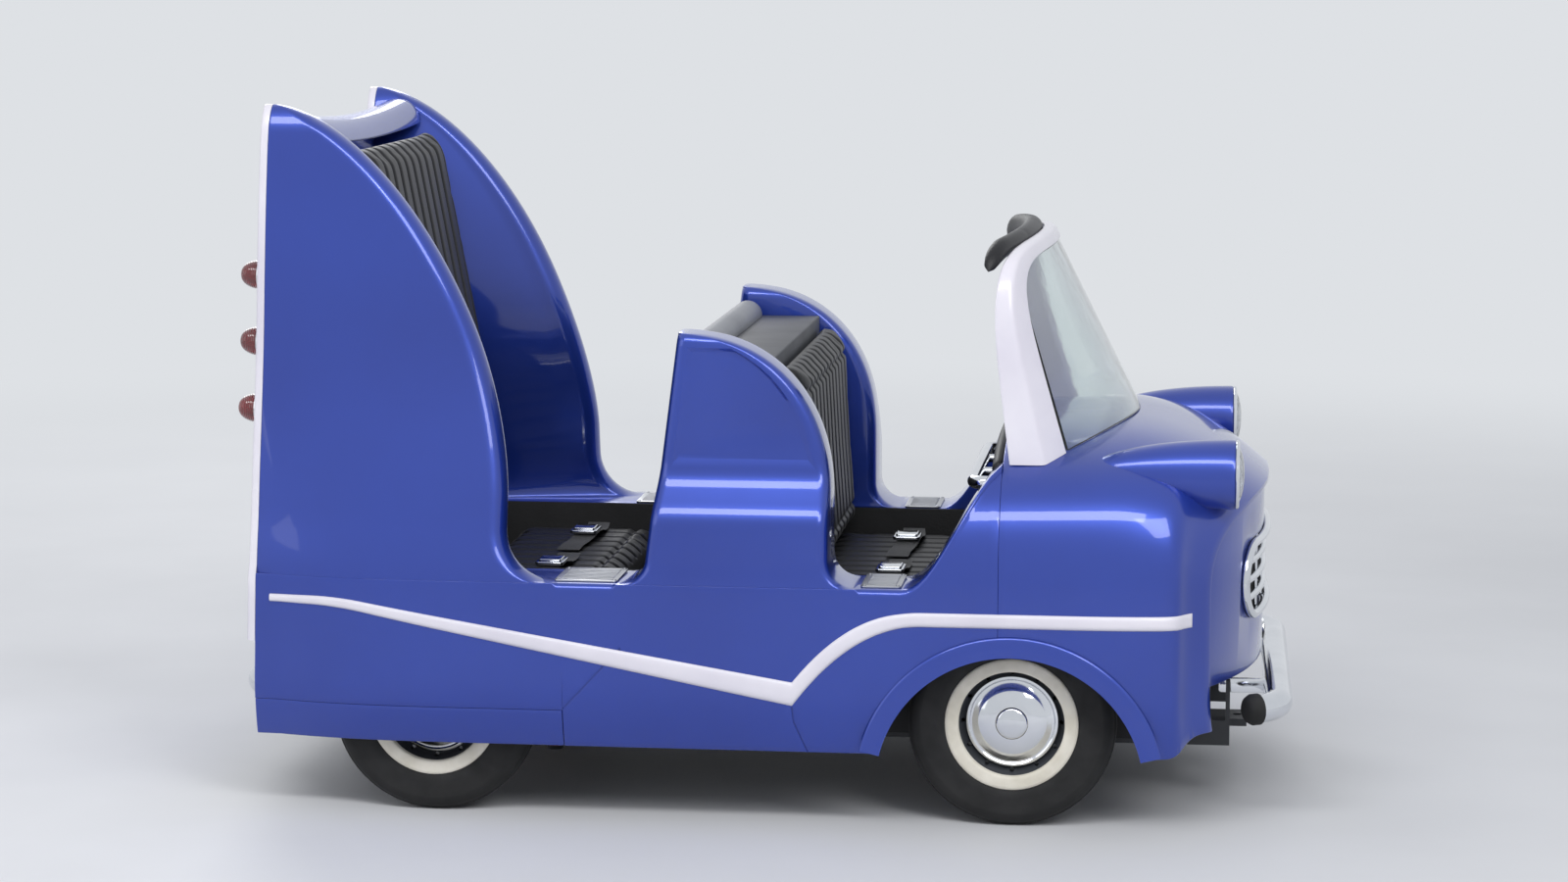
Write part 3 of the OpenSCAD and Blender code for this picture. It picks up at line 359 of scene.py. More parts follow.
def clip_y(x, z):
    """Half width of the front end over its foot."""
    rise = clamp((z - CLIP_FOOT) / (clip_top(x) - CLIP_FOOT))
    return plan_y(x) * superellipse(rise, CLIP_POWER)


def side_y(x, z):
    """Half width of the flank at a height."""
    if z < CLIP_FOOT:
        return plan_y(x) - tuck(z)
    return clip_y(x, z) if x > 150 else plan_y(x)


def flank_foot(x):
    """Lower edge of the body: over the skirt, round the arch and up to the nose."""
    if x < SKIRT_X:
        return SKIRT_Z
    if abs(x - FRONT_AXLE) < ARCH_HALF:
        return ARCH_Z + math.sqrt(ARCH_R**2 - (x - FRONT_AXLE) ** 2)
    return LOWER_Z + 40 * ease((x - 760) / 180) if x > 760 else LOWER_Z


def flank_top(x):
    """Upper edge of the flank, from the sill up to the cowl."""
    return lerp(SILL_Z, COWL_Z, ease((x - 280) / (COWL_X - 262)))


def rear_x(z):
    """The slanting rear plane."""
    return FIN_X - REAR_LEAN * (FIN_TIP_Z - z)


def rear_end(x, z):
    """Lets the rearmost station follow the rear plane."""
    return rear_x(z) if x == FIN_X else x


def sill_round(x):
    """Radius of the flank's top edge: round in the doorways, square under a fin or pod."""
    return lerp(1.2, SILL_R, ease((min(x + 363, -240 - x) if x < POD_X else x - 194) / 12))


def fin_front(z):
    """Front edge of a fin: curved above, straight, then an arc into the sill."""
    if z > FIN_BEND:
        rise = clamp((z - FIN_BEND) / (FIN_TIP_Z - FIN_BEND))
        return FIN_X + FIN_RUN * superellipse(rise, FIN_POWER)
    if z < SILL_Z + FIN_FOOT:
        return FIN_X + FIN_RUN + FIN_FOOT - math.sqrt(FIN_FOOT**2 - (SILL_Z + FIN_FOOT - z) ** 2)
    return FIN_X + FIN_RUN


def fin_w(z):
    """Thickness of a fin along its rear edge."""
    drop = clamp((FIN_TIP_Z - z) / FIN_TAPER)
    return FIN_T * (1 - (1 - drop) ** 2) ** (1 / 2.2)


def fin_mid(z):
    """How far a fin's middle plane stands from the car's."""
    return 421 - 0.27 * max(0, fin_w(z) - 72) + 37 * ease((930 - z) / 482)


def fin_outer(x, z):
    """Outer face of a fin, which flares out to the flank at its foot."""
    foot = plan_y(FIN_X) - fin_mid(SILL_Z) - FIN_T / 2
    flare = (plan_y(x) - plan_y(FIN_X)) * (1 - ease((z - SILL_Z) / 450))
    return fin_mid(z) + fin_w(z) / 2 + flare + foot * (1 - ease((z - SILL_Z) / 120))


def fin_inner(x, z):
    """Inner face of a fin, closing in toward its front edge."""
    t = clamp((x - rear_x(z)) / max(1, fin_front(z) - rear_x(z)))
    return fin_outer(x, z) - lerp(fin_w(z), min(fin_w(z), FIN_EDGE), t)


def fin_ring(z, sides=14):
    """A level slice through the right fin, with a round front."""
    rear, front = rear_x(z), fin_front(z)
    r = min(min(FIN_EDGE, fin_w(z)) / 2, (front - rear) * 0.4)
    nose = front - r
    outer, inner = fin_outer(nose, z), fin_inner(nose, z)
    ring = [(x, -fin_outer(x, z), z) for x in spread(rear, nose, sides)]
    for a in spread(-80, 80, 13):
        ring.append((nose + r * cosd(a), -(outer + inner) / 2 + (outer - inner) / 2 * sind(a), z))
    return ring + [(x, -fin_inner(x, z), z) for x in spread(nose, rear, sides)]


def pod_rear(z):
    """Rear edge of a pod: a slant, with an arc at its foot."""
    foot = SILL_Z + POD_FOOT
    if z < foot:
        return POD_X - POD_SLANT - POD_FOOT + math.sqrt(POD_FOOT**2 - (foot - z) ** 2)
    return POD_X - POD_SLANT * (POD_TOP - z) / (POD_TOP - foot)


def pod_front(z):
    """Front edge of a pod, shaped like a fin's."""
    if z > POD_BEND:
        rise = clamp((z - POD_BEND) / (POD_TOP - POD_BEND))
        return POD_X + POD_RUN * superellipse(rise, POD_POWER)
    if z < SILL_Z + POD_FOOT:
        return POD_X + POD_RUN + POD_FOOT - math.sqrt(POD_FOOT**2 - (SILL_Z + POD_FOOT - z) ** 2)
    return POD_X + POD_RUN


def pod_outer(z):
    """Outer face of a pod, leaning in toward its top."""
    return HALF_W - 55 * ease((z - SILL_Z - 110) / 102)


def pod_ring(z):
    """A level slice through the right pod, drawn in at its top."""
    rear, front, outer, inner = pod_rear(z), pod_front(z), pod_outer(z), TUB_HALF + 0.3
    top = clamp((z - POD_TOP + POD_ROUND) / POD_ROUND)
    pull = POD_ROUND * (1 - math.sqrt(1 - top * top * 0.96))
    r = max(0.01, min(POD_ROUND, (front - rear) * 0.4))
    return [(x, y, z) for x, y in box_outline(rear, front, -outer + pull, -inner - pull, r, 7)]


def clip_z(x, y):
    """Height of the bonnet and wings."""
    rise = superellipse(min(0.9999, abs(y) / plan_y(x)), CLIP_POWER)
    return CLIP_FOOT + (clip_top(x) - CLIP_FOOT) * rise


def screen_base(u):
    """The windscreen's foot in plan."""
    return COWL_X + 46 + 190 * (1 - u * u) ** 0.7, 440 * u


def screen_top(u):
    """The windscreen's upper line."""
    return 425 + 90 * (1 - u * u) ** 0.7, 405 * u, 1045 + 22 * (1 - u * u)


def screen_at(u, v, ahead=0.0, lift=2.0):
    """A place on the windscreen: u from side to side, v from its foot up."""
    u = max(-1, min(1, u))
    bx, by = screen_base(u)
    tx, ty, tz = screen_top(u)
    return lerp(bx, tx, v) + ahead, lerp(by, ty, v), lerp(clip_z(bx, by) + lift, tz, v)


def screen_edge(t):
    """The screen's rounded outline, as a share of its full height or width."""
    return (1 - min(1, abs(t)) ** 8) ** 0.125


# Materials
FINISHES = {}


def linear(hex_colour, alpha=1.0):
    """An sRGB hex colour as linear values."""
    parts = [int(hex_colour[i:i + 2], 16) / 255 for i in (1, 3, 5)]
    return (*[c / 12.92 if c <= 0.04045 else ((c + 0.055) / 1.055) ** 2.4 for c in parts], alpha)


def add(tree, kind, inputs=None, **settings):
    """Adds a node with its settings, and values or links for its sockets."""
    node = tree.nodes.new("ShaderNode" + kind)
    for key, value in settings.items():
        setattr(node, key, value)
    for socket, value in (inputs or {}).items():
        if isinstance(value, bpy.types.NodeSocket):
            tree.links.new(value, node.inputs[socket])
        else:
            node.inputs[socket].default_value = value
    return node


def grain(tree, place, size_mm, kind="Noise", detail=2.0):
    """A pattern whose features are about size_mm across."""
    inputs = {"Vector": place, "Scale": 1000 / size_mm}
    if kind == "Noise":
        inputs["Detail"] = detail
        return add(tree, "TexNoise", inputs).outputs["Fac"]
    return add(tree, "TexVoronoi", inputs, feature=kind).outputs["Distance"]


def ramp(tree, fac, low, high, start=0.0, stop=1.0):
    """A ramp from one colour or grey level to another."""
    node = add(tree, "ValToRGB", {"Fac": fac})
    for element, at, value in zip(node.color_ramp.elements, (start, stop), (low, high)):
        element.position = at
        element.color = linear(value) if isinstance(value, str) else (value, value, value, 1)
    return node.outputs["Color"]


def finish(name, base, dark, rough, patch_mm, bump_mm, bump, bump_kind="Noise",
           rough_spread=0.08, stretch=(1, 1, 1), **shader):
    """A finish with slow colour and gloss changes and a fine surface relief."""
    material = bpy.data.materials.new(name)
    material.use_nodes = True
    tree = material.node_tree
    tree.nodes.clear()
    place = add(tree, "TexCoord").outputs["Object"]
    place = add(tree, "Mapping", {"Vector": place, "Scale": stretch}).outputs["Vector"]
    slow = grain(tree, place, patch_mm, detail=4.0)
    colour = ramp(tree, slow, dark, base, 0.3, 0.7)
    gloss = ramp(tree, slow, rough + rough_spread, rough, 0.25, 0.75)
    relief = grain(tree, place, bump_mm, bump_kind)
    height = {"Height": relief, "Strength": bump, "Distance": bump_mm * 0.25 * MM}
    inputs = {"Base Color": colour, "Roughness": gloss, "Normal": add(tree, "Bump", height).outputs["Normal"]}
    for key, value in shader.items():
        inputs[key.replace("_", " ").title().replace("Ior", "IOR")] = value
    surface = add(tree, "BsdfPrincipled", inputs)
    add(tree, "OutputMaterial", {"Surface": surface.outputs["BSDF"]})
    FINISHES[name] = material
    return material


def make_finishes(colours):
    """Every finish on the car, each from what the real one is.

    The numbers are the roughness, the size of the slow patches, and the size
    and strength of the relief. Sizes are in millimetres.
    """
    # Two-coat lacquer on glass fibre: fine flake under a clear coat that gives sharp highlights
    finish("metallic blue lacquer", colours.body, "#203B9B", 0.31, 420, 2.2, 0.10,
           metallic=0.55, coat_weight=1.0, coat_roughness=0.05, coat_ior=1.5)
    # Gel coat, moulded: faint orange peel and a soft gloss
    finish("white gel coat", colours.white, "#DAD6E2", 0.26, 220, 9.0, 0.05,
           coat_weight=0.5, coat_roughness=0.08)
    # Acrylic, moulded: deep red with a polished face
    finish("red acrylic lens", colours.lens, "#5E0410", 0.10, 60, 12.0, 0.03,
           transmission_weight=0.35, ior=1.49, coat_weight=1.0, coat_roughness=0.03)
    # Core behind the lens, in a lighter translucent red: painted light, a warm bright middle in the lamp
    finish("lamp core", "#D83A28", "#C22C1E", 0.25, 30, 4.0, 0.05,
           subsurface_weight=0.3, subsurface_radius=(0.02, 0.004, 0.002))
    # Chrome plate: mirror bright, with a slight haze in patches
    finish("chrome plate", "#E4E6EA", "#D3D6DB", 0.07, 120, 30.0, 0.02, rough_spread=0.06, metallic=1.0)
    # Acrylic sheet, bent hot: clear, with faint waves
    finish("clear acrylic", "#F1F6F6", "#EAF2F1", 0.03, 300, 60.0, 0.02,
           rough_spread=0.02, transmission_weight=1.0, ior=1.49)
    # Headlamp lens, pressed: upright flutes spread the light
    finish("fluted lens", "#F4F6F8", "#E9ECEF", 0.04, 90, 9.0, 0.6,
           rough_spread=0.03, stretch=(1, 1, 0.08), transmission_weight=1.0, ior=1.49)
    # Headlamp bulb, frosted glass: a soft warm white
    finish("frosted bulb", "#F6F1E6", "#EFE8D8", 0.3, 20, 3.0, 0.05,
           subsurface_weight=0.4, subsurface_radius=(0.01, 0.01, 0.008))
    # Stainless plate, brushed: long fine scratches along the car
    finish("brushed stainless", "#BFC0C4", "#A9ABB0", 0.30, 90, 2.4, 0.25, stretch=(0.05, 1, 1), metallic=1.0)
    # Grained vinyl over foam: a pebbled skin drawn a little coarse so that it shows, soft sheen
    finish("grained black vinyl", "#121218", "#0C0C10", 0.42, 160, 3.2, 0.55, "SMOOTH_F1",
           sheen_weight=0.06, specular_ior_level=0.4)
    # Polyethylene, rotationally moulded: matt with a fine stipple
    finish("moulded grey polyethylene", "#45474D", "#3A3C42", 0.52, 200, 2.6, 0.30)
    # The same plastic in a paler grey: a painted highlight for the sun on the divider's roll; rubbed a little
    # smoother by hands
    finish("light grey polyethylene", "#8A8C92", "#7B7D84", 0.45, 200, 2.6, 0.25)
    # Sprayed liner: a rough black coating that hides dirt
    finish("black spray liner", "#17171A", "#101012", 0.72, 140, 5.0, 0.6)
    # Woven polyester webbing, with 1.6 mm picks drawn at 3 mm so that they show
    finish("polyester webbing", "#1B1B1E", "#121214", 0.62, 60, 3.0, 0.7, "F1",
           stretch=(1.0, 0.5, 1.0), sheen_weight=0.4)
    # Satin paint over steel, sprayed: a dull sheen over a light texture
    finish("satin chassis paint", "#34373C", "#26282C", 0.42, 110, 4.0, 0.2, specular_ior_level=0.5)
    # Moulded rubber: matt and dark, with bloom in patches
    finish("tyre rubber", "#1D1D1E", "#141415", 0.70, 50, 2.0, 0.35, rough_spread=0.12)
    # White rubber, slightly creamed with age
    finish("white rubber wall", colours.wall, "#D8D2C2", 0.42, 40, 2.0, 0.15)
    # Cast urethane tread: amber brown and slightly waxy
    finish("cast urethane", "#8A4A1E", "#6E3814", 0.34, 30, 3.0, 0.2,
           subsurface_weight=0.15, subsurface_radius=(0.01, 0.004, 0.002))


class CarSizes(bpy.types.PropertyGroup):
    """Sizes of the dressed pieces."""

    wall: bpy.props.FloatProperty(
        name="Shell wall", description="Thickness of the moulded shell",
        default=0.008, min=0.005, max=0.012, unit="LENGTH")
    edge: bpy.props.FloatProperty(
        name="Edge rounding", description="Radius on the shell's cut edges",
        default=0.0016, min=0.0005, max=0.004, unit="LENGTH")
    seam: bpy.props.FloatProperty(
        name="Panel gap", description="Width of the gaps between panels",
        default=0.003, min=0.001, max=0.006, unit="LENGTH")
    flute: bpy.props.FloatProperty(
        name="Bezel flutes", description="Pitch of the flutes in the bezels' floor",
        default=0.012, min=0.008, max=0.02, unit="LENGTH")
    channel: bpy.props.FloatProperty(
        name="Seat channels", description="Width of the channels sewn in the back rests",
        default=0.0575, min=0.04, max=0.08, unit="LENGTH")
    webbing: bpy.props.FloatProperty(
        name="Belt width", description="Width of the lap belts' webbing",
        default=0.045, min=0.035, max=0.05, unit="LENGTH")
    lens: bpy.props.FloatProperty(
        name="Camera lens", description="Focal length of the photograph's view, in mm",
        default=82.0, min=35.0, max=135.0)


class CarColours(bpy.types.PropertyGroup):
    """Colours of the finishes, as sRGB hex values."""

    body: bpy.props.StringProperty(name="Body", description="Lacquer of the body", default="#2442A8")
    white: bpy.props.StringProperty(
        name="White", description="Bezels, screen frame and trim", default="#ECE9F1")
    lens: bpy.props.StringProperty(name="Lens", description="Tail lamp lenses", default="#8E0A18")
    wall: bpy.props.StringProperty(name="White wall", description="Ring on each tyre", default="#ECE7DA")


def sizes():
    return bpy.context.scene.ride_car_sizes


BACKDROP = "#DEE1E5"


def looks_at(tree):
    """1 for rays that look at the backdrop, straight, in a mirror or through glass."""
    rays = add(tree, "LightPath").outputs
    share = rays["Is Camera Ray"]
    for kind in ("Is Glossy Ray", "Is Transmission Ray"):
        share = add(tree, "Math", {0: share, 1: rays[kind]}, operation="MAXIMUM").outputs[0]
    return share


def aimed(obj, height):
    """Turns a camera or lamp toward a place on the car's middle line."""
    way = Vector((0.0, 0.0, height)) - obj.location
    obj.rotation_euler = way.to_track_quat("-Z", "Y").to_euler()


def make_world():
    """Soft light all round, and the backdrop's colour where it is looked at."""
    world = bpy.data.worlds.new("Studio")
    bpy.context.scene.world = world
    world.use_nodes = True
    tree = world.node_tree
    tree.nodes.clear()
    soft = add(tree, "Background", {"Color": linear("#E4E7EC"), "Strength": 0.62}).outputs[0]
    back = add(tree, "Background", {"Color": linear(BACKDROP), "Strength": 1.0}).outputs[0]
    mixed = add(tree, "MixShader", {"Fac": looks_at(tree), 1: soft, 2: back}).outputs[0]
    add(tree, "OutputWorld", {"Surface": mixed})


def floor_finish():
    """Painted floor that fades into the backdrop away from the car."""
    look = finish("painted studio floor", "#DEDFE2", "#D8D9DC", 0.6, 700, 6.0, 0.1)
    tree = look.node_tree
    place = add(tree, "TexCoord").outputs["Object"]
    far = add(tree, "VectorMath", {0: place}, operation="LENGTH").outputs["Value"]
    fade = add(tree, "MapRange", {"Value": far, "From Min": 2.2, "From Max": 7.0},
               interpolation_type="SMOOTHSTEP").outputs["Result"]
    glow = add(tree, "Emission", {"Color": linear(BACKDROP)}).outputs[0]
    share = add(tree, "Math", {0: fade, 1: looks_at(tree)}, operation="MULTIPLY").outputs[0]
    solid = tree.nodes["Principled BSDF"].outputs[0]
    mixed = add(tree, "MixShader", {"Fac": share, 1: solid, 2: glow}).outputs[0]
    tree.links.new(mixed, tree.nodes["Material Output"].inputs["Surface"])
    return look


class RIDECAR_OT_stage(bpy.types.Operator):
    """Camera at the photograph's viewpoint, soft studio lamps and a pale floor"""

    bl_idname = "ride_car.stage"
    bl_label = "Stage"

    def execute(self, context):
        bpy.ops.object.select_all(action="DESELECT")
        bpy.ops.object.camera_add(location=(0.823, -6.90, 1.60))
        camera = context.active_object
        aimed(camera, 0.64)
        camera.data.lens = sizes().lens
        camera.data.sensor_width = 36.0
        context.scene.camera = camera
        # Each lamp's place, its width and depth in metres, and its power
        lamps = {"key": ((3.2, -4.6, 4.4), 2.4, 2.4, 95.0), "sky": ((-0.3, -3.3, 4.3), 4.4, 1.0, 95.0),
                 "fill": ((-4.8, -3.2, 2.6), 3.4, 3.4, 28.0), "back": ((-2.4, 4.8, 3.8), 3.0, 3.0, 90.0)}
        for name, (at, width, depth, power) in lamps.items():
            bpy.ops.object.light_add(type="AREA", location=at)
            lamp = context.active_object
            lamp.name = name + "_lamp"
            lamp.data.shape = "RECTANGLE"
            lamp.data.size = width
            lamp.data.size_y = depth
            lamp.data.energy = power
            aimed(lamp, 0.5)
        make_world()
        bpy.ops.object.select_all(action="DESELECT")
        bpy.ops.mesh.primitive_plane_add(size=60, location=(0, 0, 0))
        floor = context.active_object
        floor.name = "floor"
        floor.data.materials.append(floor_finish())
        context.scene.view_settings.view_transform = "Standard"
        return {"FINISHED"}


def flank_section(x, inset):
    """Points of the flank at one station, from its lower edge up and over the sill."""
    low, top, lip = flank_foot(x), flank_top(x) - inset, TUB_HALF + 0.6
    r = max(0.3, sill_round(x) - inset)
    roll = max(0.3, SILL_R / 2 - inset)
    points = [(side_y(x, z) - inset, z) for z in spread(low, top - r, 26)]
    points += arc((side_y(x, top - r) - inset - r, top - r), r, 18, 90, 5)
    points += arc((lip + inset + roll, top - roll), roll, 90, 180, 5)
    return points + [(lip + inset, SILL_Z - SILL_R)]


def arch_stations():
    """Stations spaced evenly round the front wheel arch."""
    return [FRONT_AXLE - ARCH_HALF * cosd(a) for a in range(0, 181, 4)]


def flank_stations():
    """Stations along the flank, closer at the doorways and round the arch."""
    xs = [FIN_X, -890, -870] + spread(-850, -376, 24) + [SKIRT_X - 0.4, SKIRT_X + 0.4]
    xs += spread(-363, -351, 5) + spread(-335, -262, 6) + spread(-252, -240, 5)
    xs += spread(-225, 180, 22) + spread(194, 206, 5)
    return sorted(set(xs + [x for x in arch_stations() if 212 < x < COWL_X - 6] + [COWL_X - 0.4]))


def seam_cutter(line):
    """A thin cutter that follows a seam on the right flank."""
    width = sizes().seam / MM
    points = []
    for a, b in zip(line, line[1:]):
        points += [(lerp(a[0], b[0], t), lerp(a[1], b[1], t)) for t in spread(0, 1, 6)]
    rings = []
    for i, (x, z) in enumerate(points):
        ax, az = points[max(0, i - 1)]
        bx, bz = points[min(len(points) - 1, i + 1)]
        across = Vector((-(bz - az), bx - ax)).normalized() * width / 2
        y = side_y(x, z)
        rings.append([(x + s * across.x, -(y + 12 if out else y - 4), z + s * across.y)
                      for s, out in ((-1, False), (1, False), (1, True), (-1, True))])
    return lofted("cutter", rings)


class RIDECAR_OT_flanks(bpy.types.Operator):
    """Flanks with their sills, wheel arches and panel gaps, and the skirts over the rear wheels"""

    bl_idname = "ride_car.flanks"
    bl_label = "Flanks and skirts"

    def execute(self, context):
        walls = (0.0, sizes().wall / MM)
        flank = walled("flank_right", *[
            [[(rear_end(x, z), -y, z) for y, z in flank_section(x, inset)] for x in flank_stations()]
            for inset in walls])
        corner_seam = [(-235, 330), (-343, 214)]
        notch_seam = [(81, 228), (84, 200), (108, 141)]
        cut(flank, seam_cutter(corner_seam), seam_cutter(notch_seam))
        rounded(flank, sizes().edge / MM, 2, 50)
        dress_pair(flank, PAINT, "side_right")
        stations = [FIN_X] + spread(-890, SKIRT_X - 1.1, 30)
        levels = spread(LOWER_Z, SKIRT_Z - 0.6, 9)
        skirt = walled("skirt_right", *[
            [[(rear_end(x, z), -side_y(x, z) + inset, z) for z in levels] for x in stations]
            for inset in walls])
        dress_pair(rounded(skirt, 1.4, 2, 50), PAINT, "wheel_skirts")
        return {"FINISHED"}


def curved_levels(foot, bend, top, power, step, middle, angles):
    """Heights of the slices through a fin or pod, closer where its front edge curves."""
    levels = [SILL_Z + foot * (1 - cosd(a)) for a in range(0, 90, step)]
    levels += spread(SILL_Z + foot, bend, middle)
    return levels + [bend + (top - bend) * sind(a) ** (2 / power) for a in angles]


class RIDECAR_OT_fins(bpy.types.Operator):
    """Tail fins, lofted in level slices"""

    bl_idname = "ride_car.fins"
    bl_label = "Fins"

    def execute(self, context):
        levels = curved_levels(FIN_FOOT, FIN_BEND, FIN_TIP_Z, FIN_POWER, 8, 5, range(2, 89, 2))
        rings = [fin_ring(z) for z in sorted(set(levels))] + [fin_ring(FIN_TIP_Z - 0.6)]
        dress_pair(rounded(lofted("fin_shell_right", rings), 2.5, 3, 55), PAINT, "fin_right")
        return {"FINISHED"}


class RIDECAR_OT_pods(bpy.types.Operator):
    """Pods beside the front seat's back, with an inset panel on their outer face"""

    bl_idname = "ride_car.pods"
    bl_label = "Pods"

    def execute(self, context):
        levels = curved_levels(POD_FOOT, POD_BEND, POD_TOP, POD_POWER, 10, 14, range(3, 85, 3))
        levels += spread(POD_TOP - 14, POD_TOP - 0.2, 6)
        pod = lofted("pod_right", [pod_ring(z) for z in sorted(set(levels))])
        rings = []
        for inset, depth in ((-7.0, -6.0), (7.0, 6.0)):
            heights = spread(668 + inset, POD_TOP - 26 - inset, 40)
            y = -pod_outer(700) + depth
            ring = [(pod_rear(z) + 24 + inset, y, z) for z in heights]
            rings.append(ring + [(pod_front(z) - 28 - inset, y, z) for z in reversed(heights)])
        cut(pod, lofted("cutter", rings))
        dress_pair(rounded(pod, 2.2, 3, 50), PAINT, "pods", 45)
        return {"FINISHED"}


def on_rear(a, drop, height):
    """A place over the rear plane: a across, drop below the fins' tips, height rearward."""
    tilt = math.atan(REAR_LEAN)
    return (FIN_X - 0.3 - height * math.cos(tilt) - drop * math.sin(tilt), a,
            FIN_TIP_Z + height * math.sin(tilt) - drop * math.cos(tilt))


REAR_OUT = Vector(on_rear(0, 0, 1)) - Vector(on_rear(0, 0, 0))
BEZEL_FOOT = 320.0
BEZEL_RIM = 19.5
FLUTE_STEPS = 6
ROLL_R = 50.0
LAMP_DROPS = [FIN_TIP_Z - 993 + i * 125 for i in range(3)]


def bezel_side(drop, inset, outer):
    """Where a side of the right bezel lies, some way in from its edge."""
    z = FIN_TIP_Z - drop
    if outer:
        return -(side_y(FIN_X, z) if z < SILL_Z else fin_outer(rear_x(z), z)) + inset
    return -(side_y(FIN_X, z) - FIN_T if z < SILL_Z else fin_inner(rear_x(z), z)) - inset


def bezel_row(drop, inset, across):
    """Places across the bezel at one drop, from its outer side to its inner side."""
    outer, inner = bezel_side(drop, inset, True), bezel_side(drop, inset, False)
    return [lerp(outer, inner, t) for t in spread(0, 1, across)]


def bezel_drops(inset):
    """Drops of the bezel's rows, closer where its point narrows."""
    start = FIN_TAPER * (1 - math.sqrt(1 - ((2 * inset + 8) / FIN_T) ** 2.2))
    end = FIN_TIP_Z - BEZEL_FOOT - inset
    return [start + (FIN_TAPER - start) * t * t for t in spread(0, 1, 26)] + spread(FIN_TAPER, end, 26)[1:]


def bezel_ring(inset, height, across):
    """A closed line round the bezel, some way in from its edge."""
    drops = bezel_drops(inset)
    rows = [bezel_row(d, inset, across) for d in drops]
    ring = [(row[0], d) for row, d in zip(rows, drops)]
    ring += [(a, drops[-1]) for a in rows[-1][1:]]
    ring += [(row[-1], d) for row, d in list(zip(rows, drops))[-2::-1]]
    ring += [(a, drops[0]) for a in rows[0][-2:0:-1]]
    return [on_rear(a, d, height) for a, d in ring]


def bezel(name):
    """A raised round rim, a groove inside it and a floor with fine flutes."""
    across = 2 + int(110 / (sizes().flute / MM)) * FLUTE_STEPS
    section = [(0, 0.4), (0, 10), (0.8, 13), (2.6, 15.2), (5.2, 16), (9.8, 16), (12.4, 15.2), (14.2, 13),
               (15, 10), (15, 5.2), (18.5, 5.2), (BEZEL_RIM, 7)]
    rings = [bezel_ring(inset, height, across) for inset, height in section]
    n = len(rings[0])
    points = [p for ring in rings for p in ring]
    faces = []
    for a in range(0, len(points) - n, n):
        faces += [(a + j, a + n + j, a + n + (j + 1) % n, a + (j + 1) % n) for j in range(n)]
    drops = bezel_drops(BEZEL_RIM)
    start = len(points)
    for i, d in enumerate(drops):
        for j, a in enumerate(bezel_row(d, BEZEL_RIM, across)):
            calm = i in (0, len(drops) - 1) or j in (0, across - 1)
            wave = 0 if calm else 1.1 * abs(math.sin(math.pi * j / FLUTE_STEPS)) - 0.3
            points.append(on_rear(a, d, 7 + wave))
    for i in range(len(drops) - 1):
        for j in range(across - 1):
            a, b = start + i * across + j, start + (i + 1) * across + j
            faces.append((a, b, b + 1, a + 1))
    faces.append(tuple(reversed(range(n))))
    return outward(new_piece(name, points, faces), 1e-5)


def lamp_centre(drop):
    """The bezel's middle, where its lamps sit."""
    return (bezel_side(drop, 0, True) + bezel_side(drop, 0, False)) / 2


def ribbed_dome(r=27.3, steps=24):
    """Outline of a bullet lens with fine rings moulded in it."""
    line = [(0, 22.2), (r, 22.2), (r, 28)]
    for i in range(1, steps + 1):
        t = i / steps
        groove = 0.7 if i % 2 and t < 0.93 else 0
        height = 28 + 36 * sind(90 * t) ** 1.1
        line.append((max(0, r * cosd(90 * t) ** 0.8 - groove), min(63.5, height)))
    return line


def panel_half(z):
    """Half width of the panel between the fins."""
    if z < BEZEL_FOOT - 2:
        return side_y(FIN_X, z) - sizes().wall / MM - 0.3
    if z < SILL_Z:
        return side_y(FIN_X, z) - FIN_T - 1.1
    return fin_inner(rear_x(z), min(z, FIN_TIP_Z - 52)) - 1.1


def panel_grid(inset, top):
    """The rear panel: bowed rearward, with a dipping roll along its top."""
    heights = [262, 290, BEZEL_FOOT - 3, BEZEL_FOOT - 1] + spread(SILL_Z - 60, top - ROLL_R, 40)
    profile = [(inset, z) for z in heights] + arc((ROLL_R, top - ROLL_R), ROLL_R - inset, 174, 0, 30)
    grid = []
    for t in spread(1, -1, 33):
        row = []
        for dx, z in profile:
            bow = 16 * (1 - t * t) * ease((top - z) / 250)
            dip = 14 * (1 - t * t) * ease((z - 1100) / 200)
            row.append((rear_x(z) + dx - bow, t * panel_half(z), z - dip))
        grid.append(row)
    return grid


class RIDECAR_OT_tail(bpy.types.Operator):
    """White bezels, their round lamp seats, the bullet lenses and the panel between the fins"""

    bl_idname = "ride_car.tail"
    bl_label = "Tail"

    def execute(self, context):
        dress_pair(bezel("bezel_right"), WHITE, "bezels", 50)
        seat = [(0, 6), (41, 6), (41, 18), (40, 21.5), (37.5, 24), (34.5, 25), (32.5, 24.5), (31.6, 22),
                (0, 22)]
        ring = [(27.6, 20.5), (31.4, 20.5), (31.4, 26), (30.6, 28), (29.2, 28.6), (27.9, 27.4), (27.6, 25),
                (27.6, 20.5)]
        # The core is a lighter red than the lens: painted light in each lamp's middle
        core = [(0, 23), (11, 23), (11, 44), (9, 50), (5, 54), (0, 55.5)]
        for tag, profile, look, cad in (
            ("seat", seat, WHITE, "bezels"), ("ring", ring, CHROME, "tail_lamps"),
            ("lens", ribbed_dome(), ("red acrylic lens", "red_lens"), "tail_lamps"),
            ("core", core, ("lamp core", "red_lens"), "tail_lamps"),
        ):
            for side, s in SIDES:
                lamps = [turned("lamp", profile, on_rear(-s * lamp_centre(d), d, 0), REAR_OUT, 48)
                         for d in LAMP_DROPS]
                dress(joined(f"lamp_{tag}s_{side}", *lamps), look, cad, smooth=30 if tag == "lens" else 45)
        top = FIN_TIP_Z - 22
        panel = walled("tail_panel", panel_grid(0.0, top), panel_grid(sizes().wall / MM, top))
        dress(rounded(panel, 1.4, 2, 50), PAINT, "rear_panel")
        return {"FINISHED"}


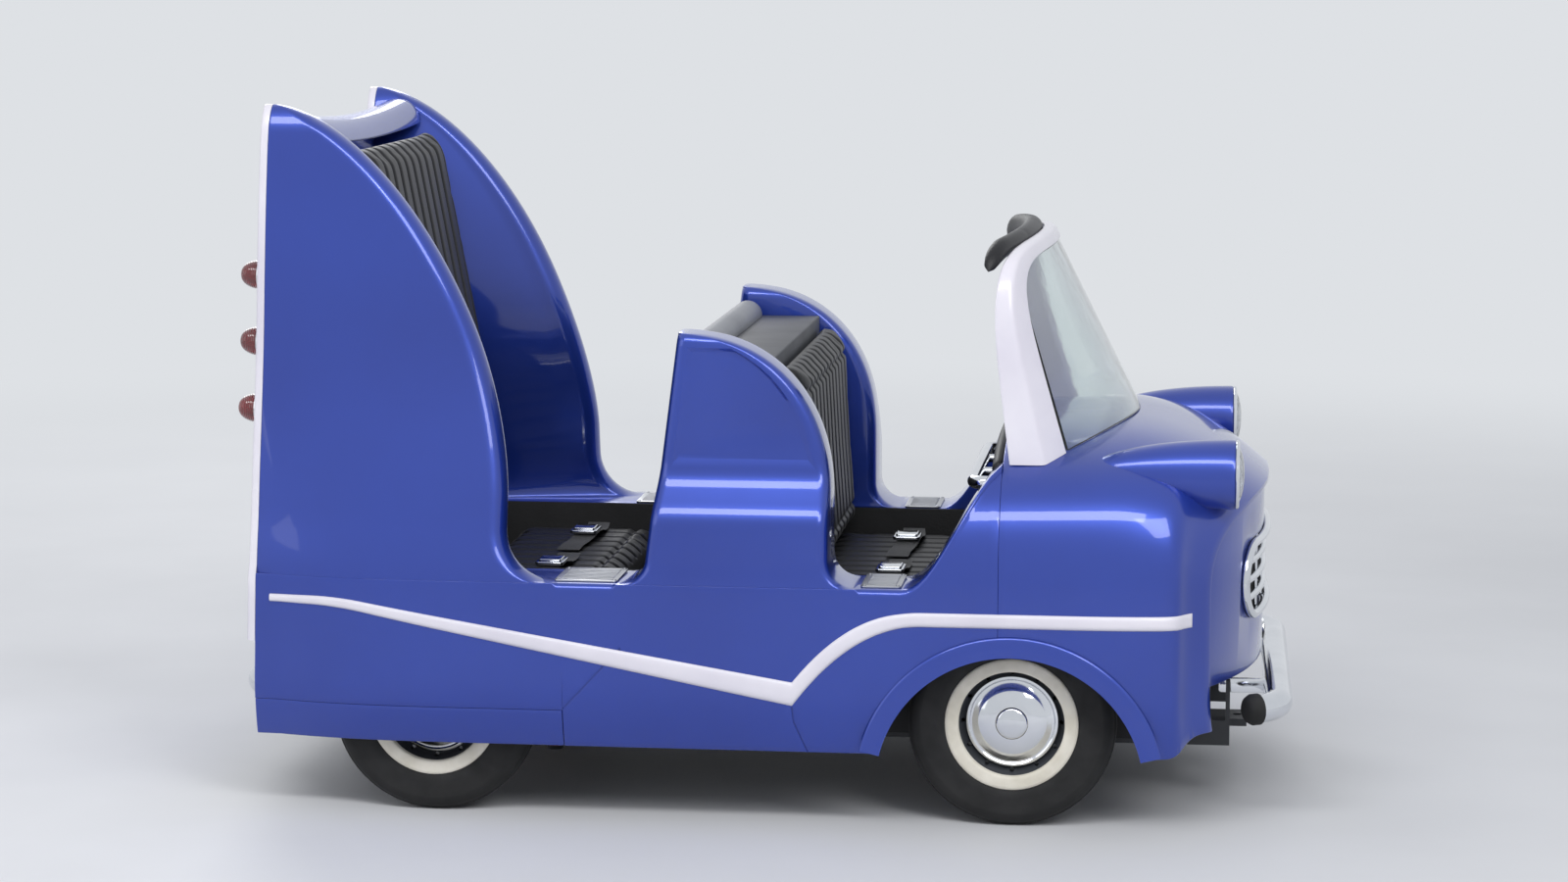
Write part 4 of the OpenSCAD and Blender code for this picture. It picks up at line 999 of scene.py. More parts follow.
def crown_line(w, top, steps):
    """The arch over the front end, from the right to the left."""
    points = []
    for a in spread(0, 180, steps):
        c, s = cosd(a), abs(sind(a))
        across = math.copysign(abs(c) ** (2 / CLIP_POWER), c)
        points.append((-w * across, CLIP_FOOT + (top - CLIP_FOOT) * s ** (2 / CLIP_POWER)))
    return points


def clip_section(x, inset):
    side = [(side_y(x, z) - inset, z) for z in spread(flank_foot(x), CLIP_FOOT, 14)[:-1]]
    crown = crown_line(plan_y(x) - inset, clip_top(x) - inset, 73)
    return [(-y, z) for y, z in side] + crown + side[::-1]


def bowed(obj):
    """Slices a piece of the nose across and sweeps it back with the front end."""
    with editing(obj, "VERT"):
        for y in spread(-460, 460, 47):
            bpy.ops.mesh.select_all(action="SELECT")
            bpy.ops.mesh.bisect(plane_co=(0, y * MM, 0), plane_no=(0, 1, 0))
    for vertex in obj.data.vertices:
        vertex.co.x += (swept(NOSE_X, vertex.co.y / MM, 0)[0] - NOSE_X) * MM
    return obj


MOUTH_W, MOUTH_H, MOUTH_Z = 640.0, 150.0, 430.0
BAR_PITCH = 34


def mouth_outline(inset, steps=16):
    """The nose's mouth: a slot with round ends."""
    half, r = (MOUTH_W - MOUTH_H) / 2, MOUTH_H / 2 - inset
    return arc((half, MOUTH_Z), r, -90, 90, steps) + arc((-half, MOUTH_Z), r, 90, 270, steps)


class RIDECAR_OT_front(bpy.types.Operator):
    """One-piece bonnet and wings, the nose panel with its mouth, and the grille"""

    bl_idname = "ride_car.front"
    bl_label = "Front"

    def execute(self, context):
        wall = sizes().wall / MM
        xs = [COWL_X] + [x for x in arch_stations() if x > COWL_X + 4] + spread(730, NOSE_X, 30)
        clip = walled("bonnet", *[[[swept(x, y, z) for y, z in clip_section(x, inset)] for x in xs]
                                  for inset in (0.0, wall)])
        dress(rounded(clip, 2.0, 3, 50), PAINT, "front_clip")
        seat = NOSE_X - 5
        w, top = plan_y(seat) - wall - 0.6, clip_top(seat) - wall - 0.6
        nose = plate("nose", [(-w, 262)] + crown_line(w, top, 61) + [(w, 262)], "X", NOSE_X - 20, NOSE_X - 8)
        cut(nose, plate("cutter", mouth_outline(0), "X", NOSE_X - 40, NOSE_X + 20))
        dress(bowed(rounded(nose, 1.6, 2, 50)), PAINT, "nose_panel")
        ring = [(NOSE_X - 3, y, z) for y, z in mouth_outline(7, 24)]
        parts = [tube("grille_surround", ring, 8.0, closed=True)]
        for i in range(-1, 2):
            z = MOUTH_Z + i * BAR_PITCH
            reach = (MOUTH_W - MOUTH_H) / 2 + math.sqrt(68**2 - (abs(i) * BAR_PITCH + 7) ** 2)
            outline = box_outline(NOSE_X - 17, NOSE_X - 3, z - 7, z + 7, 6.5)
            parts.append(plate("bar", outline, "Y", -reach, reach))
        for y in (-186, -62, 62, 186):
            outline = box_outline(NOSE_X - 16, NOSE_X - 10, y - 4, y + 4, 2.5)
            parts.append(plate("bar", outline, "Z", MOUTH_Z - 66, MOUTH_Z + 66))
        dress(bowed(joined("grille_bars", *parts)), CHROME, "grille")
        backing = plate("grille_backing", mouth_outline(-12), "X", NOSE_X - 30, NOSE_X - 22)
        dress(bowed(backing), LINER)
        return {"FINISHED"}


LAMP_AT, LAMP_R, LAMP_POD = (877.0, 408.0, 648.0), 64.0, 270.0


class RIDECAR_OT_headlamps(bpy.types.Operator):
    """Bullet pods let into the front wings, each with a reflector, a bulb, a domed lens and a chrome ring"""

    bl_idname = "ride_car.headlamps"
    bl_label = "Headlamps"

    def execute(self, context):
        r = LAMP_R
        bowl = [((r - 10) * t, -50 + 44 * t * t) for t in spread(0, 1, 16)]
        shell = [(0, -LAMP_POD)] + [(r * cosd(a), -LAMP_POD * sind(a)) for a in spread(86, 1, 30)]
        shell += [(r - 0.8, -0.6), (r - 2.5, 0), (r - 7, 0), (r - 8, -2)]
        shell += [(pr + 1.2, ph - 1.5) for pr, ph in reversed(bowl)] + [(0, -51.5)]
        ring = [(r - 8.6, -4), (r - 9.4, 1), (r - 8, 5.5), (r - 5, 7.5), (r - 1.6, 6), (r - 0.2, 2),
                (r - 1.6, 0.4), (r - 6, 0.4), (r - 8.6, -4)]
        dome = [((r - 9.2) * cosd(a), 17 * sind(a)) for a in spread(2, 88, 14)]
        glass = [(0, 14)] + [(pr * 0.965, ph - 2.8) for pr, ph in reversed(dome)]
        glass += [(r - 12, -3.6), (r - 9.2, -3.6)] + dome + [(0, 17)]
        bulb = [(0, -49), (7, -49), (7, -34), (11, -30), (13, -24), (12, -18), (8, -13.5), (0, -12)]
        for side, s in SIDES:
            centre = (LAMP_AT[0], s * LAMP_AT[1], LAMP_AT[2])
            for tag, profile, look, cad in (
                ("pod", shell, PAINT, "headlamp_pods"), ("ring", ring, CHROME, "headlamps"),
                ("bowl", bowl, CHROME, "headlamps"),
                ("bulb", bulb, ("frosted bulb", "clear_lens"), "headlamps"),
                ("glass", glass, ("fluted lens", "clear_lens"), "headlamps"),
            ):
                dress(turned(f"lamp_{tag}_{side}", profile, centre, (1, 0, 0)), look, cad)
        return {"FINISHED"}


TRIM_REAR, TRIM_NOTCH, TRIM_NOSE = -900, 81, 905
TRIM_RUN = 851
TRIM_LEVEL = 0.94


def trim_z(x):
    """Height of the strip's middle: a slope that levels out softly toward the rear."""
    if x < TRIM_NOTCH:
        run = (TRIM_NOTCH - x) / TRIM_RUN
        level = clamp((run - TRIM_LEVEL) / 0.12)
        return lerp(252, 404, min(run, TRIM_LEVEL) + 0.12 * (level - level * level / 2))
    return 252 + 143 * (1 - (1 - clamp((x - TRIM_NOTCH) / 240)) ** 2.2)


def trim_w(x):
    """Width of the strip: widest at its notch."""
    if x < TRIM_NOTCH:
        return lerp(44, 18, (TRIM_NOTCH - x) / TRIM_RUN)
    return lerp(44, 26, clamp((x - TRIM_NOTCH) / 200))


def flank_y(x, z):
    """Half width of the flank, straight over its last stretch to the rear plane."""
    if x > -880:
        return side_y(x, z)
    return lerp(side_y(-880, z), side_y(FIN_X, z), (x + 880) / (rear_x(z) + 880))


def trim_row(x, lift):
    """Places across the strip at one station, crowned when it is lifted."""
    row = []
    for t in spread(-1, 1, 13):
        z = trim_z(x) + t / 2 * trim_w(x)
        crown = 0.5 + 5.0 * (1 - abs(t) ** 3.2) ** 0.7 if lift else 0.35
        row.append(swept(x, -flank_y(x, z) - crown, z))
    return row


class RIDECAR_OT_trim(bpy.types.Operator):
    """Lips round the arches, the notched strips along the flanks and the sill plates"""

    bl_idname = "ride_car.trim"
    bl_label = "Trim"

    def execute(self, context):
        a0 = math.degrees(math.asin(ARCH_DROP / 252)) + 1
        section = [(244, 0), (244, 26), (251.6, 26), (251.6, 5.6), (280, 5.4), (281.5, 3.6), (280, 1.2),
                   (276, 0), (250, 0), (246, 0.2)]
        rings = [[(FRONT_AXLE - r * cosd(a), -HALF_W - 6 + h, ARCH_Z + r * sind(a)) for r, h in section]
                 for a in spread(a0, 180 - a0, 60)]
        dress_pair(lofted("arch_lip_right", rings), PAINT, "arch_lips", 50)
        xs = spread(TRIM_REAR, 40, 60) + spread(41, 120, 40)
        xs += spread(121, 330, 40) + spread(340, TRIM_NOSE, 60)
        strip = walled("strip_right", *[[trim_row(x, lift) for x in xs] for lift in (True, False)])
        dress_pair(strip, WHITE, "side_trim", 60)
        y0, y1 = -HALF_W + 20, -TUB_HALF - 4
        for x0, x1, tag in ((-361, -244, "rear"), (204, 278, "front")):
            name = f"sill_plate_{tag}_right"
            parts = [plate(name, box_outline(x0, x1, y0, y1, 8), "Z", SILL_Z + 0.3, SILL_Z + 3.3, 0.6)]
            for y in spread(y0 + 18, y1 - 18, 8):
                rib = box_outline(x0 + 10, x1 - 10, y - 2.2, y + 2.2, 2)
                parts.append(plate("rib", rib, "Z", SILL_Z + 3.2, SILL_Z + 4.6, 0.5))
            corners = [(x, y, SILL_Z + 3.1) for x in (x0 + 6, x1 - 6) for y in (y0 + 9, y1 - 9)]
            dress_pair(joined(name, *parts, *screws(corners)), STEEL, "sill_plates")
        return {"FINISHED"}


def softened(corners):
    """A closed ring through four corners, each cut back by a soft curve."""
    ring = []
    for k in range(4):
        a, b, c = Vector(corners[k - 1]), Vector(corners[k]), Vector(corners[(k + 1) % 4])
        r = min(9.0, (a - b).length * 0.4, (c - b).length * 0.4)
        p, q = b + (a - b).normalized() * r, b + (c - b).normalized() * r
        ring += [tuple(p * (1 - t) ** 2 + b * 2 * t * (1 - t) + q * t * t) for t in spread(0, 1, 5)]
    return ring


def frame_ring(u, v):
    """The screen frame's section at a place on the screen's edge: wide at the foot, slim on top."""
    deep = lerp(38, 14, v)
    corners = [screen_at(u, v, ahead, 1.8) for ahead in (-deep, deep * 0.8)]
    return softened(corners + [screen_at(0.9 * u, 0.93 * v, ahead, 1.8) for ahead in (11.0, -6.0)])


class RIDECAR_OT_windscreen(bpy.types.Operator):
    """Wraparound acrylic screen, its moulded frame and the padded header roll"""

    bl_idname = "ride_car.windscreen"
    bl_label = "Windscreen"

    def execute(self, context):
        us = [-0.985 * cosd(a) for a in spread(0, 180, 61)]
        sheet = walled("screen", *[
            [[screen_at(0.895 * t, 0.925 * v * screen_edge(t), ahead) for v in spread(0, 1, 15)] for t in us]
            for ahead in (5.0, 0.0)])
        dress(sheet, ("clear acrylic", "screen_glass"), "windscreen")
        side = [(screen_edge(v), v) for v in spread(0, 0.76, 24)]
        side += [(u, screen_edge(u)) for u in spread(0.965, 0.5, 24)]
        path = [(-u, v) for u, v in side] + [(-u, screen_edge(u)) for u in spread(0.48, -0.48, 33)]
        path += reversed(side)
        frame = lofted("screen_frame", [frame_ring(u, v) for u, v in path])
        dress(frame, WHITE, "windscreen_frame", smooth=60)
        places = []
        for i in spread(-1, 1, 65):
            swell = 18.5 * (1 - abs(i) ** 14) ** 0.5 + 0.5
            stitched = abs(math.sin(i * math.pi * 6)) < 0.12
            r = swell * (0.95 if stitched else 1)
            places.append((*screen_at(i * 0.93, min(0.985, screen_edge(i * 0.93)), -35), r, r))
        roll = rolled("header_roll", places, 15)
        dress(roll, VINYL, "header_pad", smooth=60)
        return {"FINISHED"}


RAIL_Y, RAIL_Z, RAIL_BEND = 240, 600, 26


class RIDECAR_OT_dash(bpy.types.Operator):
    """Moulded dash with a padded brow and dials without lettering, and the grab rail before it"""

    bl_idname = "ride_car.dash"
    bl_label = "Dash and grab rail"

    def execute(self, context):
        foot = SILL_Z + 8
        arch = crown_line(plan_y(DASH_X + 6) - 9, clip_top(DASH_X + 6) - 9, 61)
        crown = [p for p in reversed(arch) if p[1] > foot]
        outline = [(crown[0][0], foot)] + crown + [(crown[-1][0], foot)]
        board = plate("dash_board", outline, "X", DASH_X, DASH_X + 12)
        knee_room = box_outline(-354, 354, SILL_Z - 60, SILL_Z + 60, 30)
        cut(board, plate("cutter", knee_room, "X", DASH_X - 5, DASH_X + 20))
        dress(rounded(board, 3.0, 3, 50), GREY, "dash")
        places = [(DASH_X - 12, y, clip_z(COWL_X + 8, y) - 34, 14, 20) for y in spread(-400, 400, 41)]
        brow = rounded(rolled("dash_brow", places, 20), 8, 3, 50)
        dress(brow, VINYL)
        ring = [(30, 0), (36, 0), (36, 4), (34, 7), (31, 7), (30, 4), (30, 0)]
        glass = [(0, 0), (30, 0), (30, 2), (24, 3.4), (12, 4.4), (0, 4.8)]
        for side, s in SIDES:
            at = (DASH_X, s * 62, 560)
            dress(turned(f"dial_ring_{side}", ring, at, (-1, 0, 0), 48), CHROME)
            dress(turned(f"dial_face_{side}", glass, at, (-1, 0, 0), 48), GREY_PAINTED_HIGHLIGHT)
        bend = [(DASH_X - 70 + RAIL_BEND * (1 - sind(a)), -RAIL_Y + RAIL_BEND * (1 - cosd(a)), RAIL_Z)
                for a in spread(0, 90, 8)]
        path = [(DASH_X - 1, -RAIL_Y, RAIL_Z)] + bend
        path += [(x, -y, z) for x, y, z in reversed(path)]
        foot_line = [(0, 0), (24, 0), (24, 3), (20, 6), (14, 8), (0, 8)]
        post_line = [(0, 0), (13, 0), (9, 6), (8, 60), (0, 60)]
        parts = [tube("grab_rail", path, 13)]
        for line, y, steps in ((foot_line, RAIL_Y, 40), (post_line, 90, 32)):
            parts += [turned("part", line, (DASH_X, s * y, RAIL_Z), (-1, 0, 0), steps) for s in (-1, 1)]
        dress(joined("grab_rail", *parts), CHROME, "grab_bar")
        return {"FINISHED"}


TUB_WALL, TUB_FOOT = 6, 150.0
TUB_FLOOR = TUB_FOOT + TUB_WALL
TUB_SIDE = [(-705, SILL_Z), (-640, TUB_FOOT), (700, TUB_FOOT), (790, 320), (790, SILL_Z)]


def back_rear_x(z):
    """The rear face of the rear back rest."""
    table = [(411, -690), (760, -770), (1180, -806), (1236, -798)]
    return float(np.interp(z, [a for a, _ in table], [b for _, b in table]))


class RIDECAR_OT_cabin(bpy.types.Operator):
    """Seating tub with its ribbed floor, the bench boxes and the shell behind the rear back rest"""

    bl_idname = "ride_car.cabin"
    bl_label = "Cabin"

    def execute(self, context):
        t, floor = TUB_WALL, TUB_FLOOR
        inner = [(-705 + t, SILL_Z + 30), (-640 + t, floor), (700 - t * 0.5, floor), (790 - t, 320 + t),
                 (790 - t, SILL_Z + 30)]
        shell = plate("tub_shell", TUB_SIDE, "Y", -400, 400)
        cut(shell, plate("cutter", inner, "Y", -394, 394))
        dress(rounded(shell, 1.5, 2, 40), LINER, "tub")
        ribs = [plate("rib", box_outline(x - 5, x + 5, -340, 340, 4.5), "Z", floor, floor + 3, 1.0)
                for x in spread(-270, -170, 5) + spread(432, 676, 9)]
        dress(joined("floor_ribs", *ribs), LINER)
        for tag, x0, x1 in (("rear", -630, -300), ("front", 28.3, 400)):
            outline = box_outline(x0, x1, -388, 388, 10)
            bench = plate(f"bench_box_{tag}", outline, "Z", floor, SEAT_Z - 110, 3, 3)
            cut(bench, plate("cutter", box_outline(-350, 350, 176, 276, 14), "X", x1 - 4, x1 + 5))
            dress(bench, LINER, "seat_bases")
        grids = []
        for depth in (8.5, 1.5):
            rim = [(back_rear_x(z) - depth, z) for z in spread(SILL_Z + 1, 1180, 44)]
            grids.append([[(x, u * (fin_inner(x, z) - 2), z) for x, z in rim] for u in spread(1, -1, 33)])
        dress(walled("seat_shell", *grids), GREY, "rear_shell")
        return {"FINISHED"}


DIVIDER_X = (-150.0, 28.0)
RECESS_Y, RECESS_Z, RECESS_W, RECESS_H = 290, 745, 38, 53


class RIDECAR_OT_divider(bpy.types.Operator):
    """Moulded back of the front seat: a roll along its top, recesses with grab handles, and a foot cavity"""

    bl_idname = "ride_car.divider"
    bl_label = "Seat divider"

    def execute(self, context):
        x0, x1 = DIVIDER_X
        z, w, h = RECESS_Z, RECESS_W, RECESS_H
        foot = TUB_FLOOR + 0.3
        outline = [(x0, foot), (x1, foot), (x1, 848), (x0 + 50, 848), (x0, 826)]
        block = plate("divider", outline, "Y", -387, 387)
        cutters = [plate("cutter", box_outline(-350, 350, 90, 545, 50, 10), "X", x0 - 1, x1 - 11)]
        for y in (-RECESS_Y, RECESS_Y):
            recess = box_outline(y - w, y + w, z - h, z + h, 26, 10)
            cutters.append(plate("cutter", recess, "X", x0 - 1, x0 + 33))
        dress(rounded(cut(block, *cutters), 7, 4, 50), GREY, "seat_divider", smooth=50)
        places = []
        for y in spread(-387.5, 387.5, 41):
            r = 30 * (1 - 0.35 * clamp((abs(y) - 372) / 15.5) ** 2)
            places.append((x0 + 31, y, 850, r, r))
        # The roll is painted in the paler grey: a painted highlight for the light along its top
        dress(rolled("divider_roll", places, 12), GREY_PAINTED_HIGHLIGHT, "seat_divider", smooth=60)
        for side, s in SIDES:
            y = s * RECESS_Y
            path = [(x0 + 30, y, z - 30)]
            path += [(x0 + 10 - 9 * sind(a), y, z - 21 - 9 * cosd(a)) for a in spread(0, 90, 6)]
            path += [(px, py, 2 * z - pz) for px, py, pz in reversed(path)]
            foot_line = [(0, 0), (12, 0), (12, 2), (9, 4), (0, 4)]
            feet = [turned("foot", foot_line, (x0 + 32.5, y, z + e), (-1, 0, 0), 32) for e in (-30, 30)]
            dress(joined(f"grab_handle_{side}", tube("handle", path, 6.5), *feet), CHROME, "grab_handles")
            rings = []
            for a, b in box_outline(y - w, y + w, z - h, z + h, 26, 10):
                section = ((2, -1.5), (0, 0), (0, 3), (2, 4.5))
                rings.append([(x0 - 1.6 + dx, y + (a - y) * (w + k) / w, z + (b - z) * (h + k) / h)
                              for dx, k in section])
            dress(lofted(f"recess_rim_{side}", rings, closed=True), GREY_PAINTED_HIGHLIGHT, smooth=60)
        return {"FINISHED"}


def points_of(mesh, what="co"):
    """A mesh's places or normals as rows of numbers."""
    values = np.zeros(len(mesh.vertices) * 3)
    source, key = (mesh.vertices, "co") if what == "co" else (mesh.vertex_normals, "vector")
    source.foreach_get(key, values)
    return values.reshape(-1, 3)


def put_points(mesh, points):
    mesh.vertices.foreach_set("co", points.reshape(-1))
    mesh.update()


def pressed_in(obj, low, high):
    """Keeps a padded piece inside the room that it has, in millimetres."""
    put_points(obj.data, np.clip(points_of(obj.data), np.array(low) * MM, np.array(high) * MM))


PAD_VOXEL = 6.0
PAD_FRAMES = 20


def stuffed(obj, cap):
    """Remeshes a pad and swells it under pressure, each point by the cap at most."""
    modify(obj, "REMESH", mode="VOXEL", voxel_size=PAD_VOXEL * MM, use_smooth_shade=True)
    rest = points_of(obj.data)
    choose(obj)
    bpy.ops.object.modifier_add(type="CLOTH")
    cloth = obj.modifiers[-1]
    cloth.settings.use_pressure = True
    cloth.settings.uniform_pressure_force = 4.0
    cloth.settings.effector_weights.gravity = 0.0
    cloth.point_cache.frame_start, cloth.point_cache.frame_end = 1, PAD_FRAMES
    for frame in range(1, PAD_FRAMES + 1):
        bpy.context.scene.frame_set(frame)
    shaped = obj.evaluated_get(bpy.context.evaluated_depsgraph_get())
    step = points_of(shaped.data) - rest
    obj.modifiers.remove(cloth)
    bpy.context.scene.frame_set(1)
    length = np.maximum(np.linalg.norm(step, axis=1), 1e-9)
    put_points(obj.data, rest + step * np.minimum(1.0, cap * MM / length)[:, None])
    modify(obj, "SMOOTH", factor=0.5, iterations=4)
    return modify(obj, "SUBSURF", levels=1, render_levels=1)


def sewn(obj, seams, depth, width, facing, floor):
    """Draws sewn seams into a pad: each seam says how far a point lies from it, in millimetres."""
    co, normal = points_of(obj.data), points_of(obj.data, "normal")
    share = np.clip((normal @ np.array(facing) - floor) / 0.35, 0, 1)
    near = np.min([np.abs(seam(co / MM)) for seam in seams], axis=0)
    put_points(obj.data, co - normal * (share * depth * MM * np.exp(-((near / width) ** 2)))[:, None])


def seams_at(axis, places):
    """Seams square to X, Y or Z, which are 0, 1 and 2."""
    return [lambda p, at=at: p[:, axis] - at for at in places]


CHANNELLED = 345


def channels():
    """The seams between the pads' channels."""
    count = round(2 * CHANNELLED / (sizes().channel / MM))
    return seams_at(1, spread(-CHANNELLED, CHANNELLED, count + 1)[1:-1])


def dress_pad(obj, cad):
    """Covers a stuffed pad in vinyl."""
    dress(obj, VINYL, cad, smooth=180)


class RIDECAR_OT_benches(bpy.types.Operator):
    """Stuffed vinyl cushions and back rests with sewn channels"""

    bl_idname = "ride_car.benches"
    bl_label = "Benches"

    def execute(self, context):
        low = SEAT_Z - 110
        for tag, x0, x1 in (("rear", -620, -288), ("front", 32.3, 412)):
            pad = plate(f"{tag}_bench", box_outline(x0 + 8, x1 - 8, low + 6, SEAT_Z - 12, 24), "Y", -378, 378)
            stuffed(rounded(pad, 16, 4, 60), 12)
            sewn(pad, channels(), 6.0, 6.0, (0, 0, 1), 0.35)
            sewn(pad, seams_at(0, [x1 - 62]), 6.0, 6.0, (0, 0, 1), 0.2)
            pressed_in(pad, (x0, -388, low), (x1, 388, SEAT_Z + 4))
            dress_pad(pad, f"{tag}_cushion")
            line = [(x1 - 8, y, low + 62 + 2.5 * math.cos(y / 40)) for y in spread(-372, 372, 80)]
            dress(tube(f"{tag}_bench_piping", line, 3.2), VINYL)
        outline = [(-690, 414), (-632, 414), (-656, 700), (-746, 1180), (-760, 1226), (-780, 1234),
                   (-794, 1224), (-800, 1180), (-768, 760)]
        rear = stuffed(rounded(plate("rear_rest", outline, "Y", -336, 336), 12, 4, 60), 12)
        sewn(rear, channels(), 8.0, 6.5, (1, 0, 0.25), 0.15)
        sewn(rear, seams_at(2, [470]), 6.0, 6.0, (1, 0, 0.2), 0.2)
        pressed_in(rear, (-808, -345, 411), (-610, 345, 1248))
        dress_pad(rear, "rear_back")
        x = DIVIDER_X[1]
        outline = [(x + 5, 418), (x + 74, 418), (x + 60, 620), (x + 50, 800), (x + 34, 832), (x + 5, 836)]
        front = stuffed(rounded(plate("front_rest", outline, "Y", -362, 362), 12, 4, 60), 10)
        sewn(front, channels(), 7.0, 6.5, (1, 0, 0.1), 0.15)
        sewn(front, seams_at(2, [780, 470]), 6.0, 6.0, (1, 0, 0.2), 0.2)
        pressed_in(front, (x + 0.3, -373, 413), (x + 84, 373, 848))
        dress_pad(front, "front_back")
        return {"FINISHED"}


def belt_z(y):
    """Height of a belt's underside over the cushion, with a soft lift under the buckle."""
    return SEAT_Z + 5.5 + 9 * math.exp(-((y / 60) ** 2)) + 1.6 * math.sin(y / 23)


class RIDECAR_OT_belts(bpy.types.Operator):
    """Lap belts with lift-latch buckles, lying on the cushions"""

    bl_idname = "ride_car.belts"
    bl_label = "Lap belts"

    def execute(self, context):
        half = sizes().webbing / MM / 2
        inner = half - 1.5
        section = ((-half, 0.4), (-inner, 0), (inner, 0), (half, 0.4),
                   (half, 1.4), (inner, 1.8), (-inner, 1.8), (-half, 1.4))
        for tag, x in (("rear", -430.0), ("front", 228.3)):
            for side, s in SIDES:
                middle = s * 190
                rows = []
                for y in spread(-166, 166, 70):
                    drift = 7 * math.sin(y / 70 + (0.8 if s > 0 else 0))
                    rows.append([(x + drift + dx, middle + y, belt_z(y) + h) for dx, h in section])
                strap = lofted(f"belt_{tag}_{side}", rows)
                dress(strap, ("polyester webbing", "webbing"), "lap_belts", smooth=50)
                z = belt_z(0) + 1.4
                frame = box_outline(x - 27, x + 27, middle - 34, middle + 34, 7)
                cover = box_outline(x - 22, x + 22, middle - 24, middle + 28, 5)
                parts = [plate("buckle", frame, "Z", z, z + 7, 2.0, 3),
                         plate("lid", cover, "Z", z + 6.5, z + 11, 2.0, 3)]
                dress(joined(f"buckle_{tag}_{side}", *parts), CHROME)
                blade = box_outline(x - 24, x + 24, middle + 36, middle + 56, 5)
                dress(plate(f"tongue_{tag}_{side}", blade, "Z", z, z + 3.5, 1.2), CHROME)
        return {"FINISHED"}


class RIDECAR_OT_bumpers(bpy.types.Operator):
    """Tubular bumpers with domed ends, on plate brackets"""

    bl_idname = "ride_car.bumpers"
    bl_label = "Bumpers"

    def execute(self, context):
        r, z = 26.0, 215.0
        half, bend, turn = 340.0, 90.0, 60.0
        cap_line = [(0, -8), (r + 3, -8), (r + 3, 5), (r + 1.5, 8), (r - 2, 14), (r - 7, 17.5),
                    (r - 12, 19), (0, 20)]
        x = HALF_L - r
        bent = arc((x - bend, half), bend, 0, turn, 14)
        for tag, s in (("front", 1), ("rear", -1)):
            path = [(s * px, -py, z) for px, py in reversed(bent)] + [(s * px, py, z) for px, py in bent]
            parts = [tube("bar", path, r, sides=14)]
            caps = []
            for side in (-1, 1):
                at = (s * bent[-1][0], side * bent[-1][1], z)
                caps.append(turned("cap", cap_line, at, (-s * sind(turn), side * cosd(turn), 0), 48))
            x0, x1 = sorted((s * (x - 110), s * (x - 6)))
            for y in (-200, 200):
                parts.append(plate("bracket", box_outline(x0, x1, z - 14, z + 14, 6), "Y", y - 4, y + 4, 1.2))
            dress(joined(f"bumper_{tag}", *parts), CHROME, "bumpers")
            dress(joined(f"bumper_caps_{tag}", *caps), ("tyre rubber", "black_liner"), "bumpers")
        return {"FINISHED"}


RIM_SLOTS = 12


def tyre_profile():
    """Outline of a ribbed tyre, from one bead over the tread to the other."""
    r, half, rim = TYRE_R, TYRE_W / 2, RIM_R
    tread = []
    for h in spread(-half + 18, half - 18, 31):
        groove = 3.0 if round((h + half) * 10) % 120 < 34 else 0
        tread.append((r - 0.05 - 3.6 * (h / half) ** 2 - groove, h))
    wall = [(r - 5, half - 15), (r - 11, half - 8), (r - 22, half - 3), (r - 26, half - 2.4),
            (r - 30, half - 3.2), (rim + 24, half - 0.3), (rim + 14, half - 1), (rim + 5, half - 5),
            (rim + 0.2, half - 8)]
    profile = [(pr, -ph) for pr, ph in reversed(wall)] + tread + wall
    return profile + profile[:1]


class RIDECAR_OT_wheels(bpy.types.Operator):
    """Wheels: ribbed tyres with white walls, steel rims with slots and domed caps"""

    bl_idname = "ride_car.wheels"
    bl_label = "Wheels"

    def execute(self, context):
        half, rim = TYRE_W / 2, RIM_R
        white = [(97, half - 12), (97.5, half - 3), (99, half - 1.4), (104, half - 0.4), (116, half - 0.4),
                 (121, half - 1.2), (122.5, half - 3), (122, half - 6), (97, half - 12)]
        rim_line = [(rim - 5, -38), (rim + 3, -42), (rim + 4, -40), (rim - 1, -34), (rim - 3, 0),
                    (rim - 1, 34), (rim + 3, 37), (rim - 4, 38), (rim - 10, 33), (99, 30), (96, 24),
                    (92, 14), (88, 10), (84, 12), (84, 6), (90, 4), (96, -2), (rim - 8, -4),
                    (rim - 7, -30), (rim - 5, -38)]
        cap = [(15.1, -12), (30, -12), (32, 6), (84, 8), (85.5, 13), (84, 16.5), (80, 17.5), (77, 15.5),
               (73, 16), (64, 23), (50, 29), (36, 32.6), (30, 33.2), (28, 35.4), (24, 37.6), (16, 39.4),
               (8, 40.3), (0, 40.6)]
        slot = [(0, -14), (4.2, -14), (4.2, 14), (0, 14)]
        for tag, x in (("f", FRONT_AXLE), ("r", REAR_AXLE)):
            for side, s in (("r", -1), ("l", 1)):
                key = tag + side
                body, tyre, centre, out = f"wheel_{key}", f"tyre_{key}", (x, s * WHEEL_Y, TYRE_R), (0, s, 0)
                rubber = turned(f"rubber_{key}", tyre_profile(), centre, out, 96)
                dress(rubber, ("tyre rubber", "tyre"), tyre, body=body, smooth=40)
                ring = turned(f"white_wall_{key}", white, centre, out, 96)
                dress(ring, ("white rubber wall", "tyre"), tyre, body=body, smooth=50)
                slots = []
                for k in range(RIM_SLOTS):
                    a = 360 / RIM_SLOTS * k
                    at = (x + 90.5 * cosd(a), s * (WHEEL_Y + 8), TYRE_R + 90.5 * sind(a))
                    slots.append(turned("slot", slot, at, (0, 1, 0), 12))
                shell = cut(turned(f"rim_shell_{key}", rim_line, centre, out, 96), joined("cutter", *slots))
                dress(shell, ("satin chassis paint", "chassis_paint"), f"rim_{key}", body=body, smooth=40)
                dress(turned(f"cap_{key}", cap, centre, out, 96), CHROME, f"rim_{key}", body=body, smooth=35)
        return {"FINISHED"}


